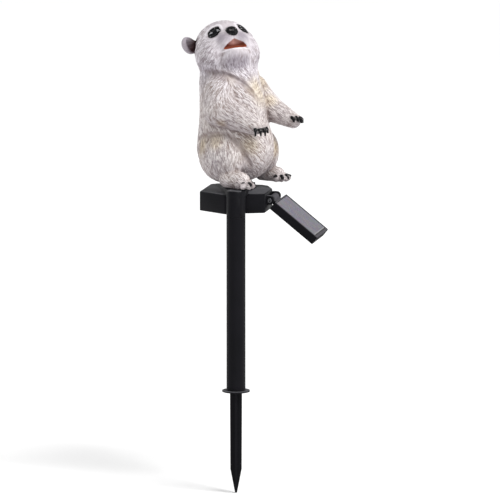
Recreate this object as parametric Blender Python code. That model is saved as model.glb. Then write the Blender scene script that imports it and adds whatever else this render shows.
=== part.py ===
"""Garden statue of a bear cub on a solar lamp housing, held up by a stake.

The origin is where the stake meets the ground: on its axis, at the underside of its flange.
+X points to the solar panel, +Y along the panel's hinge to the back, and +Z up.
"""

from math import cos, pi, radians, sin

import bmesh
import bpy
import numpy as np
from mathutils import Matrix, Vector

MM = 0.001
FIT_GAP = 0.3 * MM

# Ground spike and stake tube
SPIKE_DEPTH = 86.5 * MM
SPIKE_TAPER_DEPTH = 66.0 * MM
SPIKE_TOP_WIDTH = 10.2 * MM
SPIKE_LOW_WIDTH = 9.6 * MM
SPIKE_TIP_WIDTH = 1.8 * MM
SPIKE_FIN_THICKNESS = 2.4 * MM
SPIKE_TIP_FIN_THICKNESS = 1.0 * MM
SPIKE_TURN = radians(12.0)
FLANGE_RADIUS = 11.7 * MM
FLANGE_THICKNESS = 1.0 * MM
SPIKE_PLUG_HEIGHT = 18.0 * MM
TUBE_RADIUS = 8.0 * MM
TUBE_WALL = 1.0 * MM
TUBE_LENGTH = 147.0 * MM

# Lamp housing, whose height is measured from its open underside
HOUSING_HEIGHT = 16.4 * MM
HOUSING_WALL = 2.4 * MM
HOUSING_ROOF = 2.0 * MM
HOUSING_EDGE_ROUND = 0.7 * MM
HOUSING_LEFT = -35.3 * MM
HOUSING_RIGHT = 21.3 * MM
HOUSING_BACK = 67.5 * MM
FRONT_LEFT_CORNER = Vector((HOUSING_LEFT, 19.0 * MM))
FRONT_RIGHT_CORNER = Vector((HOUSING_RIGHT, 16.2 * MM))
FRONT_LEFT_FOLD = Vector((-10.2 * MM, 1.7 * MM))
FRONT_RIGHT_FOLD = Vector((8.0 * MM, 10.6 * MM))
BACK_RIGHT_CUT = Vector((12.8 * MM, 20.8 * MM))
BACK_LEFT_CUT = 5.0 * MM
COVER_THICKNESS = 1.8 * MM
PILLAR_DROP = 1.1 * MM
PILLAR_RISE = 4.2 * MM
PILLAR_PLUG_LENGTH = 18.0 * MM
PAD_END_RADIUS = 13.0 * MM

# Hinge and solar panel, with the panel's sizes along its own slope
HINGE_OUT = 2.3 * MM
HINGE_HEIGHT = 9.6 * MM
EAR_RADIUS = 3.8 * MM
EAR_THICKNESS = 4.0 * MM
KNUCKLE_RADIUS = 3.0 * MM
KNUCKLE_LENGTH = 20.8 * MM
KNUCKLE_WEB = 3.6 * MM
SCREW_RADIUS = 1.2 * MM
SCREW_HEAD_RADIUS = 1.95 * MM
SCREW_HEAD_HEIGHT = 1.2 * MM
PANEL_FRONT = 24.5 * MM
PANEL_SLOPE = radians(38.7)
PANEL_START = 4.4 * MM
PANEL_LENGTH = 46.6 * MM
PANEL_WIDTH = 47.0 * MM
PANEL_THICKNESS = 7.6 * MM
PANEL_TOP_RISE = 2.0 * MM
PANEL_EDGE_ROUND = 0.6 * MM
PANEL_RIM = 1.3 * MM
PANEL_END_RIM = 2.4 * MM
PANEL_LEDGE = 2.2 * MM
PANEL_FLOOR = 1.8 * MM
CELL_THICKNESS = 1.6 * MM
CELL_SINK = 0.3 * MM

# Bear cub
BEAR_HEIGHT = 137.0 * MM
BEAR_CENTRE = Vector((-7.9 * MM, 45.1 * MM))
BEAR_TURN = radians(-27.7)
BEAR_VOXELS = (2.4 * MM, 1.8 * MM, 1.5 * MM)
BEAR_FACES = 4800

# Places that follow from the sizes above
TUBE_BOTTOM = FLANGE_THICKNESS + FIT_GAP
TUBE_TOP = TUBE_BOTTOM + TUBE_LENGTH
PILLAR_BOTTOM = TUBE_TOP + FIT_GAP
HOUSING_BOTTOM = PILLAR_BOTTOM + PILLAR_DROP
HOUSING_TOP = HOUSING_BOTTOM + HOUSING_HEIGHT
PAD_TOP = HOUSING_TOP + PILLAR_RISE
PLUG_RADIUS = TUBE_RADIUS - TUBE_WALL - FIT_GAP
HINGE = Vector((HOUSING_RIGHT + HINGE_OUT, 0.0, HOUSING_BOTTOM + HINGE_HEIGHT))
BORE_RADIUS = SCREW_RADIUS + FIT_GAP
KNUCKLE_START = PANEL_FRONT + EAR_THICKNESS + FIT_GAP
BACK_EAR_START = KNUCKLE_START + KNUCKLE_LENGTH + FIT_GAP
HINGE_END = BACK_EAR_START + EAR_THICKNESS
BEAR_BASE = PAD_TOP + FIT_GAP
BEAR_UNIT = BEAR_HEIGHT / 100.0
PIECE_SIDES = 48
SMALL_SIDES = 24
OVERLAP = 1.0 * MM


def clear_scene():
    for thing in list(bpy.data.objects):
        bpy.data.objects.remove(thing, do_unlink=True)


def make_material(name, color, roughness, metallic=0.0, coat=0.0):
    material = bpy.data.materials.new(name)
    material.use_nodes = True
    shader = material.node_tree.nodes["Principled BSDF"]
    shader.inputs["Base Color"].default_value = (*color, 1.0)
    shader.inputs["Roughness"].default_value = roughness
    shader.inputs["Metallic"].default_value = metallic
    shader.inputs["Coat Weight"].default_value = coat
    return material


def add_object(name, mesh_data, material=None):
    mesh = bpy.data.meshes.new(name)
    mesh_data.to_mesh(mesh)
    mesh_data.free()
    piece = bpy.data.objects.new(name, mesh)
    bpy.context.scene.collection.objects.link(piece)
    if material:
        mesh.materials.append(material)
    return piece


def shade_round(piece, angle=35.0):
    piece.data.shade_smooth()
    piece.data.set_sharp_from_angle(angle=radians(angle))


def prism(outline, bottom, top):
    """A straight prism over a plan outline that runs anticlockwise."""
    shape = bmesh.new()
    low = [shape.verts.new((point[0], point[1], bottom)) for point in outline]
    base = shape.faces.new(low)
    lifted = bmesh.ops.extrude_face_region(shape, geom=[base])
    moved = [item for item in lifted["geom"] if isinstance(item, bmesh.types.BMVert)]
    bmesh.ops.translate(shape, vec=(0.0, 0.0, top - bottom), verts=moved)
    bmesh.ops.recalc_face_normals(shape, faces=shape.faces)
    return shape


def round_bar(radius, start, end, sides=PIECE_SIDES):
    """A cylinder from one point to another."""
    start = Vector(start)
    end = Vector(end)
    axis = end - start
    shape = bmesh.new()
    bmesh.ops.create_cone(shape, cap_ends=True, segments=sides, radius1=radius, radius2=radius,
                          depth=axis.length)
    turn = Vector((0.0, 0.0, 1.0)).rotation_difference(axis).to_matrix().to_4x4()
    place = Matrix.Translation((start + end) / 2.0) @ turn
    bmesh.ops.transform(shape, matrix=place, verts=shape.verts)
    return shape


def block(low, high, place=None):
    """A box between two corners, moved by a matrix if one is given."""
    low = Vector(low)
    high = Vector(high)
    shape = bmesh.new()
    bmesh.ops.create_cube(shape, size=1.0)
    bmesh.ops.scale(shape, vec=high - low, verts=shape.verts)
    bmesh.ops.translate(shape, vec=(low + high) / 2.0, verts=shape.verts)
    if place:
        bmesh.ops.transform(shape, matrix=place, verts=shape.verts)
    return shape


def soften(shape, width, segments=2):
    """Round every sharp edge of a form before it joins another."""
    sharp = [edge for edge in shape.edges if edge.calc_face_angle(0.0) > radians(30.0)]
    bmesh.ops.bevel(shape, geom=sharp, offset=width, segments=segments, profile=0.5,
                    affect="EDGES")
    return shape


def add_tool(name, shape):
    """A hidden form that cuts or joins a piece."""
    tool = add_object(name, shape)
    tool.hide_render = True
    tool.display_type = "WIRE"
    return tool


def combine(piece, operation, *tools):
    for tool in tools:
        step = piece.modifiers.new(f"{operation.lower()}_{tool.name}", "BOOLEAN")
        step.operation = operation
        step.solver = "EXACT"
        step.object = tool


def inset_outline(outline, distance):
    """The same plan outline moved inwards, corner by corner."""
    count = len(outline)
    moved = []
    for index, point in enumerate(outline):
        before = (point - outline[index - 1]).normalized()
        after = (outline[(index + 1) % count] - point).normalized()
        normal_before = Vector((-before.y, before.x))
        normal_after = Vector((-after.y, after.x))
        middle = (normal_before + normal_after).normalized()
        moved.append(point + middle * distance / middle.dot(normal_before))
    return moved


def make_ground_spike(material):
    """Four fins that taper to a point below a flange, with a plug for the tube above."""
    levels = (
        (FLANGE_THICKNESS / 2.0, SPIKE_TOP_WIDTH, SPIKE_FIN_THICKNESS),
        (-SPIKE_TAPER_DEPTH, SPIKE_LOW_WIDTH, SPIKE_FIN_THICKNESS),
        (-SPIKE_DEPTH, SPIKE_TIP_WIDTH, SPIKE_TIP_FIN_THICKNESS),
    )
    shape = bmesh.new()
    rings = []
    for height, width, thickness in levels:
        reach = width / 2.0
        half = thickness / 2.0
        ring = []
        for fin in range(4):
            turn = Matrix.Rotation(SPIKE_TURN + fin * pi / 2.0, 3, "Z")
            for corner in ((reach, -half), (reach, half), (half, half)):
                ring.append(shape.verts.new(turn @ Vector((*corner, height))))
        rings.append(ring)
    count = len(rings[0])
    for upper, lower in zip(rings, rings[1:]):
        for index in range(count):
            after = (index + 1) % count
            shape.faces.new((upper[index], lower[index], lower[after], upper[after]))
    shape.faces.new(rings[0])
    shape.faces.new(list(reversed(rings[-1])))
    bmesh.ops.recalc_face_normals(shape, faces=shape.faces)
    spike = add_object("ground_spike", shape, material)
    flange = round_bar(FLANGE_RADIUS, (0, 0, 0), (0, 0, FLANGE_THICKNESS))
    plug = round_bar(PLUG_RADIUS, (0, 0, FLANGE_THICKNESS / 2.0), (0, 0, SPIKE_PLUG_HEIGHT))
    combine(spike, "UNION", add_tool("tool_flange", flange), add_tool("tool_spike_plug", plug))
    return spike


def make_stake_tube(material):
    tube = add_object("stake_tube", round_bar(TUBE_RADIUS, (0, 0, TUBE_BOTTOM), (0, 0, TUBE_TOP)),
                      material)
    bore = round_bar(TUBE_RADIUS - TUBE_WALL, (0, 0, TUBE_BOTTOM - OVERLAP),
                     (0, 0, TUBE_TOP + OVERLAP))
    combine(tube, "DIFFERENCE", add_tool("tool_tube_bore", bore))
    shade_round(tube)
    return tube


def housing_outline():
    """The housing's plan: two slanted front faces that fold behind the front pillar."""
    return [
        FRONT_LEFT_CORNER,
        FRONT_LEFT_FOLD,
        Vector((0.0, FRONT_LEFT_FOLD.y)),
        Vector((0.0, FRONT_RIGHT_FOLD.y)),
        FRONT_RIGHT_FOLD,
        FRONT_RIGHT_CORNER,
        Vector((HOUSING_RIGHT, HOUSING_BACK - BACK_RIGHT_CUT.y)),
        Vector((HOUSING_RIGHT - BACK_RIGHT_CUT.x * 0.55, HOUSING_BACK - BACK_RIGHT_CUT.y * 0.19)),
        Vector((HOUSING_RIGHT - BACK_RIGHT_CUT.x, HOUSING_BACK)),
        Vector((HOUSING_LEFT + BACK_LEFT_CUT, HOUSING_BACK)),
        Vector((HOUSING_LEFT, HOUSING_BACK - BACK_LEFT_CUT)),
    ]


def stadium_outline(start, start_radius, end, end_radius, steps=SMALL_SIDES):
    """A plan outline round two circles of different size."""
    along = end - start
    lean = np.arcsin((start_radius - end_radius) / along.length)
    heading = np.arctan2(along.y, along.x)
    opening = pi / 2.0 - lean
    points = []
    for index in range(steps + 1):
        angle = heading + opening + (2.0 * pi - 2.0 * opening) * index / steps
        points.append(start + start_radius * Vector((cos(angle), sin(angle))))
    for index in range(steps + 1):
        angle = heading - opening + 2.0 * opening * index / steps
        points.append(end + end_radius * Vector((cos(angle), sin(angle))))
    return points


def make_lamp_housing(material):
    """A box open below, with the front pillar, the pad under the bear and the hinge ears."""
    outline = housing_outline()
    shell = soften(prism(outline, HOUSING_BOTTOM, HOUSING_TOP), HOUSING_EDGE_ROUND)
    housing = add_object("lamp_housing", shell, material)
    inside = prism(inset_outline(outline, HOUSING_WALL), HOUSING_BOTTOM - OVERLAP,
                   HOUSING_TOP - HOUSING_ROOF)
    combine(housing, "DIFFERENCE", add_tool("tool_housing_inside", inside))

    start = Vector((0.0, 0.0))
    pillar = round_bar(TUBE_RADIUS, (0, 0, PILLAR_BOTTOM), (0, 0, PAD_TOP - OVERLAP))
    pad = prism(stadium_outline(start, TUBE_RADIUS, BEAR_CENTRE, PAD_END_RADIUS),
                HOUSING_TOP - HOUSING_ROOF / 2.0, PAD_TOP)
    plug = round_bar(PLUG_RADIUS, (0, 0, PILLAR_BOTTOM - PILLAR_PLUG_LENGTH),
                     (0, 0, PILLAR_BOTTOM + OVERLAP))
    combine(housing, "UNION", add_tool("tool_pillar", pillar), add_tool("tool_pad", pad),
            add_tool("tool_pillar_plug", plug))

    for name, front in (("front", PANEL_FRONT), ("back", BACK_EAR_START)):
        back = front + EAR_THICKNESS
        root = block((HOUSING_RIGHT - OVERLAP, front, HINGE.z - EAR_RADIUS),
                     (HINGE.x, back, HINGE.z + EAR_RADIUS))
        knob = round_bar(EAR_RADIUS, (HINGE.x, front, HINGE.z), (HINGE.x, back, HINGE.z))
        combine(housing, "UNION", add_tool(f"tool_{name}_ear_root", root),
                add_tool(f"tool_{name}_ear_knob", knob))
    bore = round_bar(BORE_RADIUS, (HINGE.x, PANEL_FRONT - OVERLAP, HINGE.z),
                     (HINGE.x, HINGE_END + OVERLAP, HINGE.z), SMALL_SIDES)
    relief = round_bar(KNUCKLE_RADIUS + FIT_GAP, (HINGE.x, KNUCKLE_START - FIT_GAP, HINGE.z),
                       (HINGE.x, BACK_EAR_START, HINGE.z))
    combine(housing, "DIFFERENCE", add_tool("tool_ear_bore", bore),
            add_tool("tool_knuckle_relief", relief))
    shade_round(housing)
    return housing


def make_housing_cover(material):
    """The plate that closes the housing from below, cut round the pillar."""
    outline = inset_outline(housing_outline(), HOUSING_WALL + FIT_GAP)
    cover = add_object("housing_cover",
                       prism(outline, HOUSING_BOTTOM, HOUSING_BOTTOM + COVER_THICKNESS), material)
    notch = round_bar(TUBE_RADIUS + FIT_GAP, (0, 0, HOUSING_BOTTOM - OVERLAP),
                      (0, 0, HOUSING_BOTTOM + COVER_THICKNESS + OVERLAP))
    combine(cover, "DIFFERENCE", add_tool("tool_cover_notch", notch))
    return cover


def make_hinge_screw(material):
    screw = add_object("hinge_screw",
                       round_bar(SCREW_RADIUS, (HINGE.x, PANEL_FRONT - FIT_GAP - OVERLAP, HINGE.z),
                                 (HINGE.x, HINGE_END, HINGE.z), SMALL_SIDES),
                       material)
    head_end = PANEL_FRONT - FIT_GAP
    head = soften(round_bar(SCREW_HEAD_RADIUS, (HINGE.x, head_end - SCREW_HEAD_HEIGHT, HINGE.z),
                            (HINGE.x, head_end, HINGE.z), SMALL_SIDES), 0.4 * MM)
    combine(screw, "UNION", add_tool("tool_screw_head", head))
    shade_round(screw)
    return screw


def panel_hinge_empty():
    """The panel's frame: its origin on the hinge axis, +X down the slope, +Z off its face."""
    empty = bpy.data.objects.new("panel_hinge", None)
    bpy.context.scene.collection.objects.link(empty)
    empty.location = HINGE
    empty.rotation_euler = (0.0, PANEL_SLOPE, 0.0)
    return empty


def cell_plan():
    """The cell's corners on the panel: start, front, end and back."""
    return (PANEL_START + PANEL_RIM, PANEL_FRONT + PANEL_RIM,
            PANEL_START + PANEL_LENGTH - PANEL_END_RIM, PANEL_FRONT + PANEL_WIDTH - PANEL_RIM)


def make_panel_case(material, hinge):
    """A shallow case with a stepped pocket for the cell, and the hinge knuckle at its near end."""
    top = PANEL_TOP_RISE
    bottom = top - PANEL_THICKNESS
    body = block((PANEL_START, PANEL_FRONT, bottom),
                 (PANEL_START + PANEL_LENGTH, PANEL_FRONT + PANEL_WIDTH, top))
    case = add_object("panel_case", soften(body, PANEL_EDGE_ROUND), material)
    start, front, end, back = cell_plan()
    seat = top - CELL_SINK - CELL_THICKNESS - FIT_GAP
    pocket = block((start, front, seat), (end, back, top + OVERLAP))
    hollow = block((start + PANEL_LEDGE, front + PANEL_LEDGE, bottom + PANEL_FLOOR),
                   (end - PANEL_LEDGE, back - PANEL_LEDGE, seat + OVERLAP))
    web = block((0.0, KNUCKLE_START, -KNUCKLE_WEB / 2.0),
                (PANEL_START + OVERLAP, KNUCKLE_START + KNUCKLE_LENGTH, KNUCKLE_WEB / 2.0))
    knuckle = round_bar(KNUCKLE_RADIUS, (0, KNUCKLE_START, 0),
                        (0, KNUCKLE_START + KNUCKLE_LENGTH, 0))
    bore = round_bar(BORE_RADIUS, (0, KNUCKLE_START - OVERLAP, 0),
                     (0, KNUCKLE_START + KNUCKLE_LENGTH + OVERLAP, 0), SMALL_SIDES)
    unions = (add_tool("tool_web", web), add_tool("tool_knuckle", knuckle))
    cuts = (add_tool("tool_pocket", pocket), add_tool("tool_panel_hollow", hollow),
            add_tool("tool_knuckle_bore", bore))
    combine(case, "UNION", *unions)
    combine(case, "DIFFERENCE", *cuts)
    for piece in (case, *unions, *cuts):
        piece.parent = hinge
    shade_round(case)
    return case


def make_solar_cell(material, hinge):
    start, front, end, back = cell_plan()
    top = PANEL_TOP_RISE - CELL_SINK
    plate = block((start + FIT_GAP, front + FIT_GAP, top - CELL_THICKNESS),
                  (end - FIT_GAP, back - FIT_GAP, top))
    cell = add_object("solar_cell", plate, material)
    cell.parent = hinge
    return cell


# The bear's forms are in hundredths of its height, in its own frame:
# x forward, y to its left and z up, from the middle of its underside.
HEAD_AT = (-9.35, -1.4, 82.9)
HEAD_TURN = (-28.7, 35.0, 3.4)
EYE_AT = (11.3, 9.3, 4.7)
EYE_RADII = (2.3, 4.1, 2.4)
EYE_TURN = (36.0, 10.0, -20.0)
NOSE_AT = (16.4, 0.0, 2.9)
NOSE_RADII = (2.8, 4.1, 3.5)
NOSE_TURN = (0.0, 30.0, 0.0)
EAR_AT = (-8.8, 18.8, 8.4)
EAR_RADII = (3.3, 5.3, 5.8)
EAR_TURN = (-24.0, 0.0, 0.0)
EAR_CUP_AT = (-5.8, 17.8, 8.2)
EAR_CUP_RADII = (3.2, 3.5, 4.2)
MOUTH_TOP_DROP = 2.5
MOUTH_ROOF_SLOPE = 0.66
MOUTH_FLOOR_DROP = 8.6
MOUTH_HALF_WIDTH = 9.4
MOUTH_BACK = 10.5
RUFF_FOLD = ((-9.0, -19.3, 69.8), (-2.0, -17.1, 69.1), (5.4, -12.2, 67.4), (11.5, -4.9, 60.6),
             (14.6, 1.3, 52.7))
RUFF_FOLD_RADIUS = 1.0
CLAW_COUNT = 4
CLAW_SPREAD = 1.75


def turned(angles):
    """A rotation whose columns are a form's forward, left and up after turn, lift and roll."""
    turn, lift, roll = (radians(angle) for angle in angles)
    forward = np.array((cos(lift) * cos(turn), cos(lift) * sin(turn), sin(lift)))
    left = np.array((-sin(turn), cos(turn), 0.0))
    upward = np.cross(forward, left)
    return np.array((forward, left * cos(roll) + upward * sin(roll),
                     upward * cos(roll) - left * sin(roll))).T


def egg(points, centre, radii, angles=(0.0, 0.0, 0.0)):
    """Distance to an ellipsoid, close to exact near its surface."""
    local = (points - np.asarray(centre)) @ turned(angles)
    radii = np.asarray(radii)
    near = np.linalg.norm(local / radii, axis=1)
    slope = np.linalg.norm(local / radii ** 2, axis=1) + 1e-9
    return near * (near - 1.0) / slope


def limb(points, start, end, start_radius, end_radius):
    """Distance to a round limb that tapers from one point to another."""
    start = np.asarray(start)
    along = np.asarray(end) - start
    share = np.clip((points - start) @ along / (along @ along), 0.0, 1.0)
    away = np.linalg.norm(points - start - share[:, None] * along, axis=1)
    return away - (start_radius + (end_radius - start_radius) * share)


def merge(first, second, blend):
    """Two forms run together, with a fillet as wide as blend."""
    share = np.clip(0.5 + 0.5 * (second - first) / blend, 0.0, 1.0)
    return second + (first - second) * share - blend * share * (1.0 - share)


def carve(form, hollow, blend):
    return -merge(-form, hollow, blend)


def both_sides(points):
    """The points folded onto the left side, for forms that are the same on both."""
    folded = points.copy()
    folded[:, 1] = np.abs(folded[:, 1])
    return folded


def head_points(points):
    return (points - np.asarray(HEAD_AT)) @ turned(HEAD_TURN)


def widest_of(first, second, blend):
    """The overlap of two forms, with its edge rounded."""
    return -merge(-first, -second, blend)


def mouth_form(sides):
    """The open mouth: a roof that rises to a point under the nose, over a flat floor."""
    forward, side, up = sides.T
    roof = (up + MOUTH_TOP_DROP + MOUTH_ROOF_SLOPE * side) / (1.0 + MOUTH_ROOF_SLOPE ** 2) ** 0.5
    floor = -MOUTH_FLOOR_DROP - up - 0.06 * side
    mouth = widest_of(roof, floor, 1.0)
    mouth = widest_of(mouth, side - MOUTH_HALF_WIDTH, 1.0)
    return widest_of(mouth, MOUTH_BACK - forward, 1.0)


def head_form(points):
    local = head_points(points)
    sides = both_sides(local)
    form = egg(local, (-1.2, 0.0, 1.2), (17.4, 18.2, 16.2))
    cheek = egg(sides, (1.2, 10.0, -5.8), (11.6, 10.4, 10.8))
    form = merge(form, cheek, 4.0)
    bridge = egg(local, (10.6, 0.0, 0.6), (7.4, 6.2, 4.9), (0.0, 6.0, 0.0))
    form = merge(form, bridge, 3.0)
    lip_pad = egg(sides, (11.6, 4.6, -3.6), (6.6, 4.6, 4.6), (22.0, 0.0, 0.0))
    form = merge(form, lip_pad, 3.0)
    jaw = egg(local, (9.2, 0.0, -12.6), (9.4, 9.6, 4.9), (0.0, 12.0, 0.0))
    form = merge(form, jaw, 2.0)
    form = carve(form, mouth_form(sides), 0.9)
    form = merge(form, egg(local, (12.4, 0.0, -9.6), (5.0, 4.6, 1.7), (0.0, 6.0, 0.0)), 0.5)
    form = merge(form, egg(local, NOSE_AT, NOSE_RADII, NOSE_TURN), 0.8)
    eye_hollow = egg(sides, (13.6, 10.6, 4.9), (3.2, 5.0, 3.1), EYE_TURN)
    form = carve(form, eye_hollow, 2.0)
    ear = egg(sides, EAR_AT, EAR_RADII, EAR_TURN)
    cup = egg(sides, EAR_CUP_AT, EAR_CUP_RADII, EAR_TURN)
    return merge(form, carve(ear, cup, 1.0), 1.5)


def torso_form(points):
    form = egg(points, (-2.4, 0.3, 22.0), (23.6, 24.0, 21.8))
    form = merge(form, egg(points, (-4.0, 0.3, 42.0), (20.6, 21.3, 24.0)), 8.0)
    form = merge(form, egg(points, (-6.6, 0.0, 60.0), (17.5, 19.2, 17.0)), 8.0)
    form = merge(form, egg(points, (5.5, 0.5, 22.5), (18.4, 16.5, 20.0)), 3.0)
    return merge(form, limb(points, (-7.2, 0.4, 66.0), (-8.6, 0.0, 78.0), 17.2, 17.4), 5.0)


def digits(points, centre, heading, spread, reach, count, radii):
    """A row of toes or claws fanned over an arc in front of a foot or paw."""
    form = None
    for index in range(count):
        share = index / (count - 1) - 0.5
        angle = heading + spread * share
        direction = np.array((cos(angle), sin(angle), 0.0))
        root = np.asarray(centre) + direction * reach[0]
        tip = np.asarray(centre) + direction * reach[1] + np.array((0.0, 0.0, reach[2]))
        digit = limb(points, root, tip, radii[0], radii[1])
        form = digit if form is None else np.minimum(form, digit)
    return form


def claws(points, paw, forward, radius):
    """Four claws that bend down over the front edge of a paw."""
    across = np.cross((0.0, 0.0, 1.0), forward)
    across /= np.linalg.norm(across)
    rise = np.cross(forward, across)
    form = None
    for index in range(CLAW_COUNT):
        side = (index / (CLAW_COUNT - 1) - 0.5) * CLAW_SPREAD * radius
        root = np.asarray(paw) + across * side + forward * radius * 0.55 + rise * radius * 0.3
        knuckle = root + forward * radius * 0.42 - rise * radius * 0.12 + across * side * 0.1
        tip = knuckle + forward * radius * 0.16 - rise * radius * 0.62
        claw = merge(limb(points, root, knuckle, 1.5, 1.35), limb(points, knuckle, tip, 1.3, 0.8), 0.3)
        form = claw if form is None else np.minimum(form, claw)
    return form


def limb_forms(points):
    """Thighs, feet and arms, the bear's right one first in each pair, each with its blend."""
    yield egg(points, (0.6, -15.6, 17.4), (16.4, 11.6, 15.4), (0.0, -10.0, 0.0)), 2.0
    yield egg(points, (1.5, 15.2, 18.4), (16.2, 11.8, 16.4), (0.0, -10.0, 0.0)), 2.0
    for side, heel, ball, sizes in (
        (-1.0, (8.0, -18.6, 5.4), (18.6, -19.2, 4.6), (6.2, 5.6)),
        (1.0, (4.5, 18.4, 5.0), (15.4, 19.6, 4.2), (5.4, 4.9)),
    ):
        yield limb(points, heel, ball, *sizes), 2.0
        yield digits(points, (ball[0], ball[1], 3.0), radians(4.0 * side), radians(120.0),
                     (sizes[1] - 1.2, sizes[1] + 1.2, -0.6), 5, (2.5, 2.2)), 0.6
    for shoulder, elbow, paw, sizes in (
        ((-2.0, -15.5, 58.0), (1.0, -18.4, 47.4), (22.2, -11.2, 39.2), (9.8, 9.8, 10.4, 5.7)),
        ((-1.0, 16.2, 56.0), (6.0, 19.5, 46.0), (28.0, 19.4, 38.8), (9.4, 8.4, 8.8, 4.9)),
    ):
        upper = limb(points, shoulder, elbow, sizes[0], sizes[1])
        yield merge(upper, limb(points, elbow, paw, sizes[2], sizes[3]), 3.0), 3.5
        along = np.subtract(paw, elbow)
        yield claws(points, paw, along / np.linalg.norm(along), sizes[3]), 0.4


def bear_form(points):
    """Distance from points to the bear's skin, below zero inside."""
    form = torso_form(points)
    for part, blend in limb_forms(points):
        form = merge(form, part, blend)
    form = merge(form, head_form(points), 3.5)
    for start, end in zip(RUFF_FOLD, RUFF_FOLD[1:]):
        form = carve(form, limb(points, start, end, RUFF_FOLD_RADIUS, RUFF_FOLD_RADIUS), 2.2)
    return np.maximum(form, -points[:, 2])


def settle_on_form(mesh, rounds=6):
    """Move each vertex along the form's slope until it lies on the bear's skin."""
    flat = np.empty(len(mesh.vertices) * 3, dtype=np.float32)
    mesh.vertices.foreach_get("co", flat)
    points = flat.reshape(-1, 3).astype(np.float64)
    step = 0.05
    longest = 1.2
    for _ in range(rounds):
        distance = bear_form(points)
        slope = np.empty_like(points)
        for axis in range(3):
            nudge = np.zeros(3)
            nudge[axis] = step
            slope[:, axis] = (bear_form(points + nudge) - bear_form(points - nudge)) / (2.0 * step)
        steep = (slope ** 2).sum(axis=1) + 1e-6
        move = -distance[:, None] * slope / steep[:, None]
        length = np.linalg.norm(move, axis=1, keepdims=True) + 1e-9
        points += move * np.minimum(1.0, longest / length)
    mesh.vertices.foreach_set("co", points.astype(np.float32).ravel())
    mesh.update()


def add_ball(shape, centre, radii, angles=(0.0, 0.0, 0.0)):
    spin = Matrix([list(row) for row in turned(angles)]).to_4x4()
    place = Matrix.Translation(centre) @ spin @ Matrix.Diagonal((*radii, 1.0))
    bmesh.ops.create_icosphere(shape, subdivisions=3, radius=1.0, matrix=place)


def rough_bear():
    """A rough model of balls in the main masses, to be remeshed and settled on the form."""
    shape = bmesh.new()
    add_ball(shape, (-1.8, 0.5, 22.0), (23.0, 23.5, 21.0))
    add_ball(shape, (-3.6, 0.3, 42.0), (20.0, 21.0, 24.0))
    add_ball(shape, (-7.0, 0.0, 64.0), (17.0, 19.0, 17.0))
    add_ball(shape, (5.5, 0.5, 22.5), (18.0, 16.0, 19.5))
    add_ball(shape, HEAD_AT, (18.0, 19.0, 18.0), HEAD_TURN)
    head_turn = turned(HEAD_TURN)
    right_ear = (EAR_AT[0], -EAR_AT[1], EAR_AT[2])
    for centre, radius in (((13.0, 0.0, -1.0), 6.0), ((10.5, 0.0, -12.0), 7.0), (NOSE_AT, 3.0),
                           (EAR_AT, 4.5), (right_ear, 4.5)):
        add_ball(shape, head_turn @ np.array(centre) + np.array(HEAD_AT), (radius,) * 3)
    for side, reach in ((-1.0, 0.0), (1.0, -2.6)):
        add_ball(shape, (1.2, 15.2 * side, 17.8), (16.0, 11.5, 15.5))
        add_ball(shape, (15.0 + reach, 19.0 * side, 5.0), (12.0, 6.0, 5.0))
    for start, end, sizes in (
        ((-2.0, -15.5, 58.0), (1.0, -18.4, 47.4), (9.8, 9.8)),
        ((1.0, -18.4, 47.4), (24.0, -10.4, 38.8), (10.0, 5.4)),
        ((-1.0, 16.2, 56.0), (6.0, 19.5, 46.0), (9.2, 8.4)),
        ((6.0, 19.5, 46.0), (30.0, 19.4, 38.2), (8.6, 4.8)),
    ):
        balls = 8
        for index in range(balls + 1):
            share = index / balls
            centre = Vector(start).lerp(Vector(end), share)
            radius = sizes[0] + (sizes[1] - sizes[0]) * share
            add_ball(shape, centre, (radius,) * 3)
    return shape


def make_bear(material, frame):
    """The bear as one casting, sculpted by remeshing and settling from coarse to fine."""
    bear = add_object("bear_figure", rough_bear())
    for voxel in BEAR_VOXELS:
        remesh = bear.modifiers.new("remesh", "REMESH")
        remesh.mode = "VOXEL"
        remesh.voxel_size = voxel / BEAR_UNIT
        graph = bpy.context.evaluated_depsgraph_get()
        finer = bpy.data.meshes.new_from_object(bear.evaluated_get(graph), depsgraph=graph)
        bear.modifiers.clear()
        settle_on_form(finer)
        bear.data = finer
    bear.data.transform(Matrix.Scale(BEAR_UNIT, 4))
    bear.data.materials.clear()
    bear.data.materials.append(material)
    bear.matrix_world = frame
    fewer = bear.modifiers.new("fewer_faces", "DECIMATE")
    fewer.ratio = BEAR_FACES / sum(len(face.vertices) - 2 for face in bear.data.polygons)
    sockets = [make_eye(f"tool_{side}_socket", sign, None, frame, FIT_GAP)
               for side, sign in (("left", 1.0), ("right", -1.0))]
    for socket in sockets:
        socket.hide_render = True
        socket.display_type = "WIRE"
    combine(bear, "DIFFERENCE", *sockets)
    bear.data.shade_smooth()
    return bear


def make_eye(name, sign, material, frame, growth=0.0):
    """A glossy eye, an ellipsoid set in its socket; a socket's cutter is the same, but grown."""
    shape = bmesh.new()
    bmesh.ops.create_uvsphere(shape, u_segments=20, v_segments=12, radius=1.0)
    radii = [radius * BEAR_UNIT + growth for radius in EYE_RADII]
    place = Matrix.Translation([value * BEAR_UNIT for value in EYE_AT])
    spin = Matrix([list(row) for row in turned(EYE_TURN)]).to_4x4()
    left_eye = place @ spin @ Matrix.Diagonal((*radii, 1.0))
    head = Matrix([list(row) for row in turned(HEAD_TURN)]).to_4x4()
    head.translation = [value * BEAR_UNIT for value in HEAD_AT]
    side = Matrix.Diagonal((1.0, sign, 1.0, 1.0))
    bmesh.ops.transform(shape, matrix=frame @ head @ side @ left_eye, verts=shape.verts)
    bmesh.ops.recalc_face_normals(shape, faces=shape.faces)
    eye = add_object(name, shape, material)
    eye.data.shade_smooth()
    return eye


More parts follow.
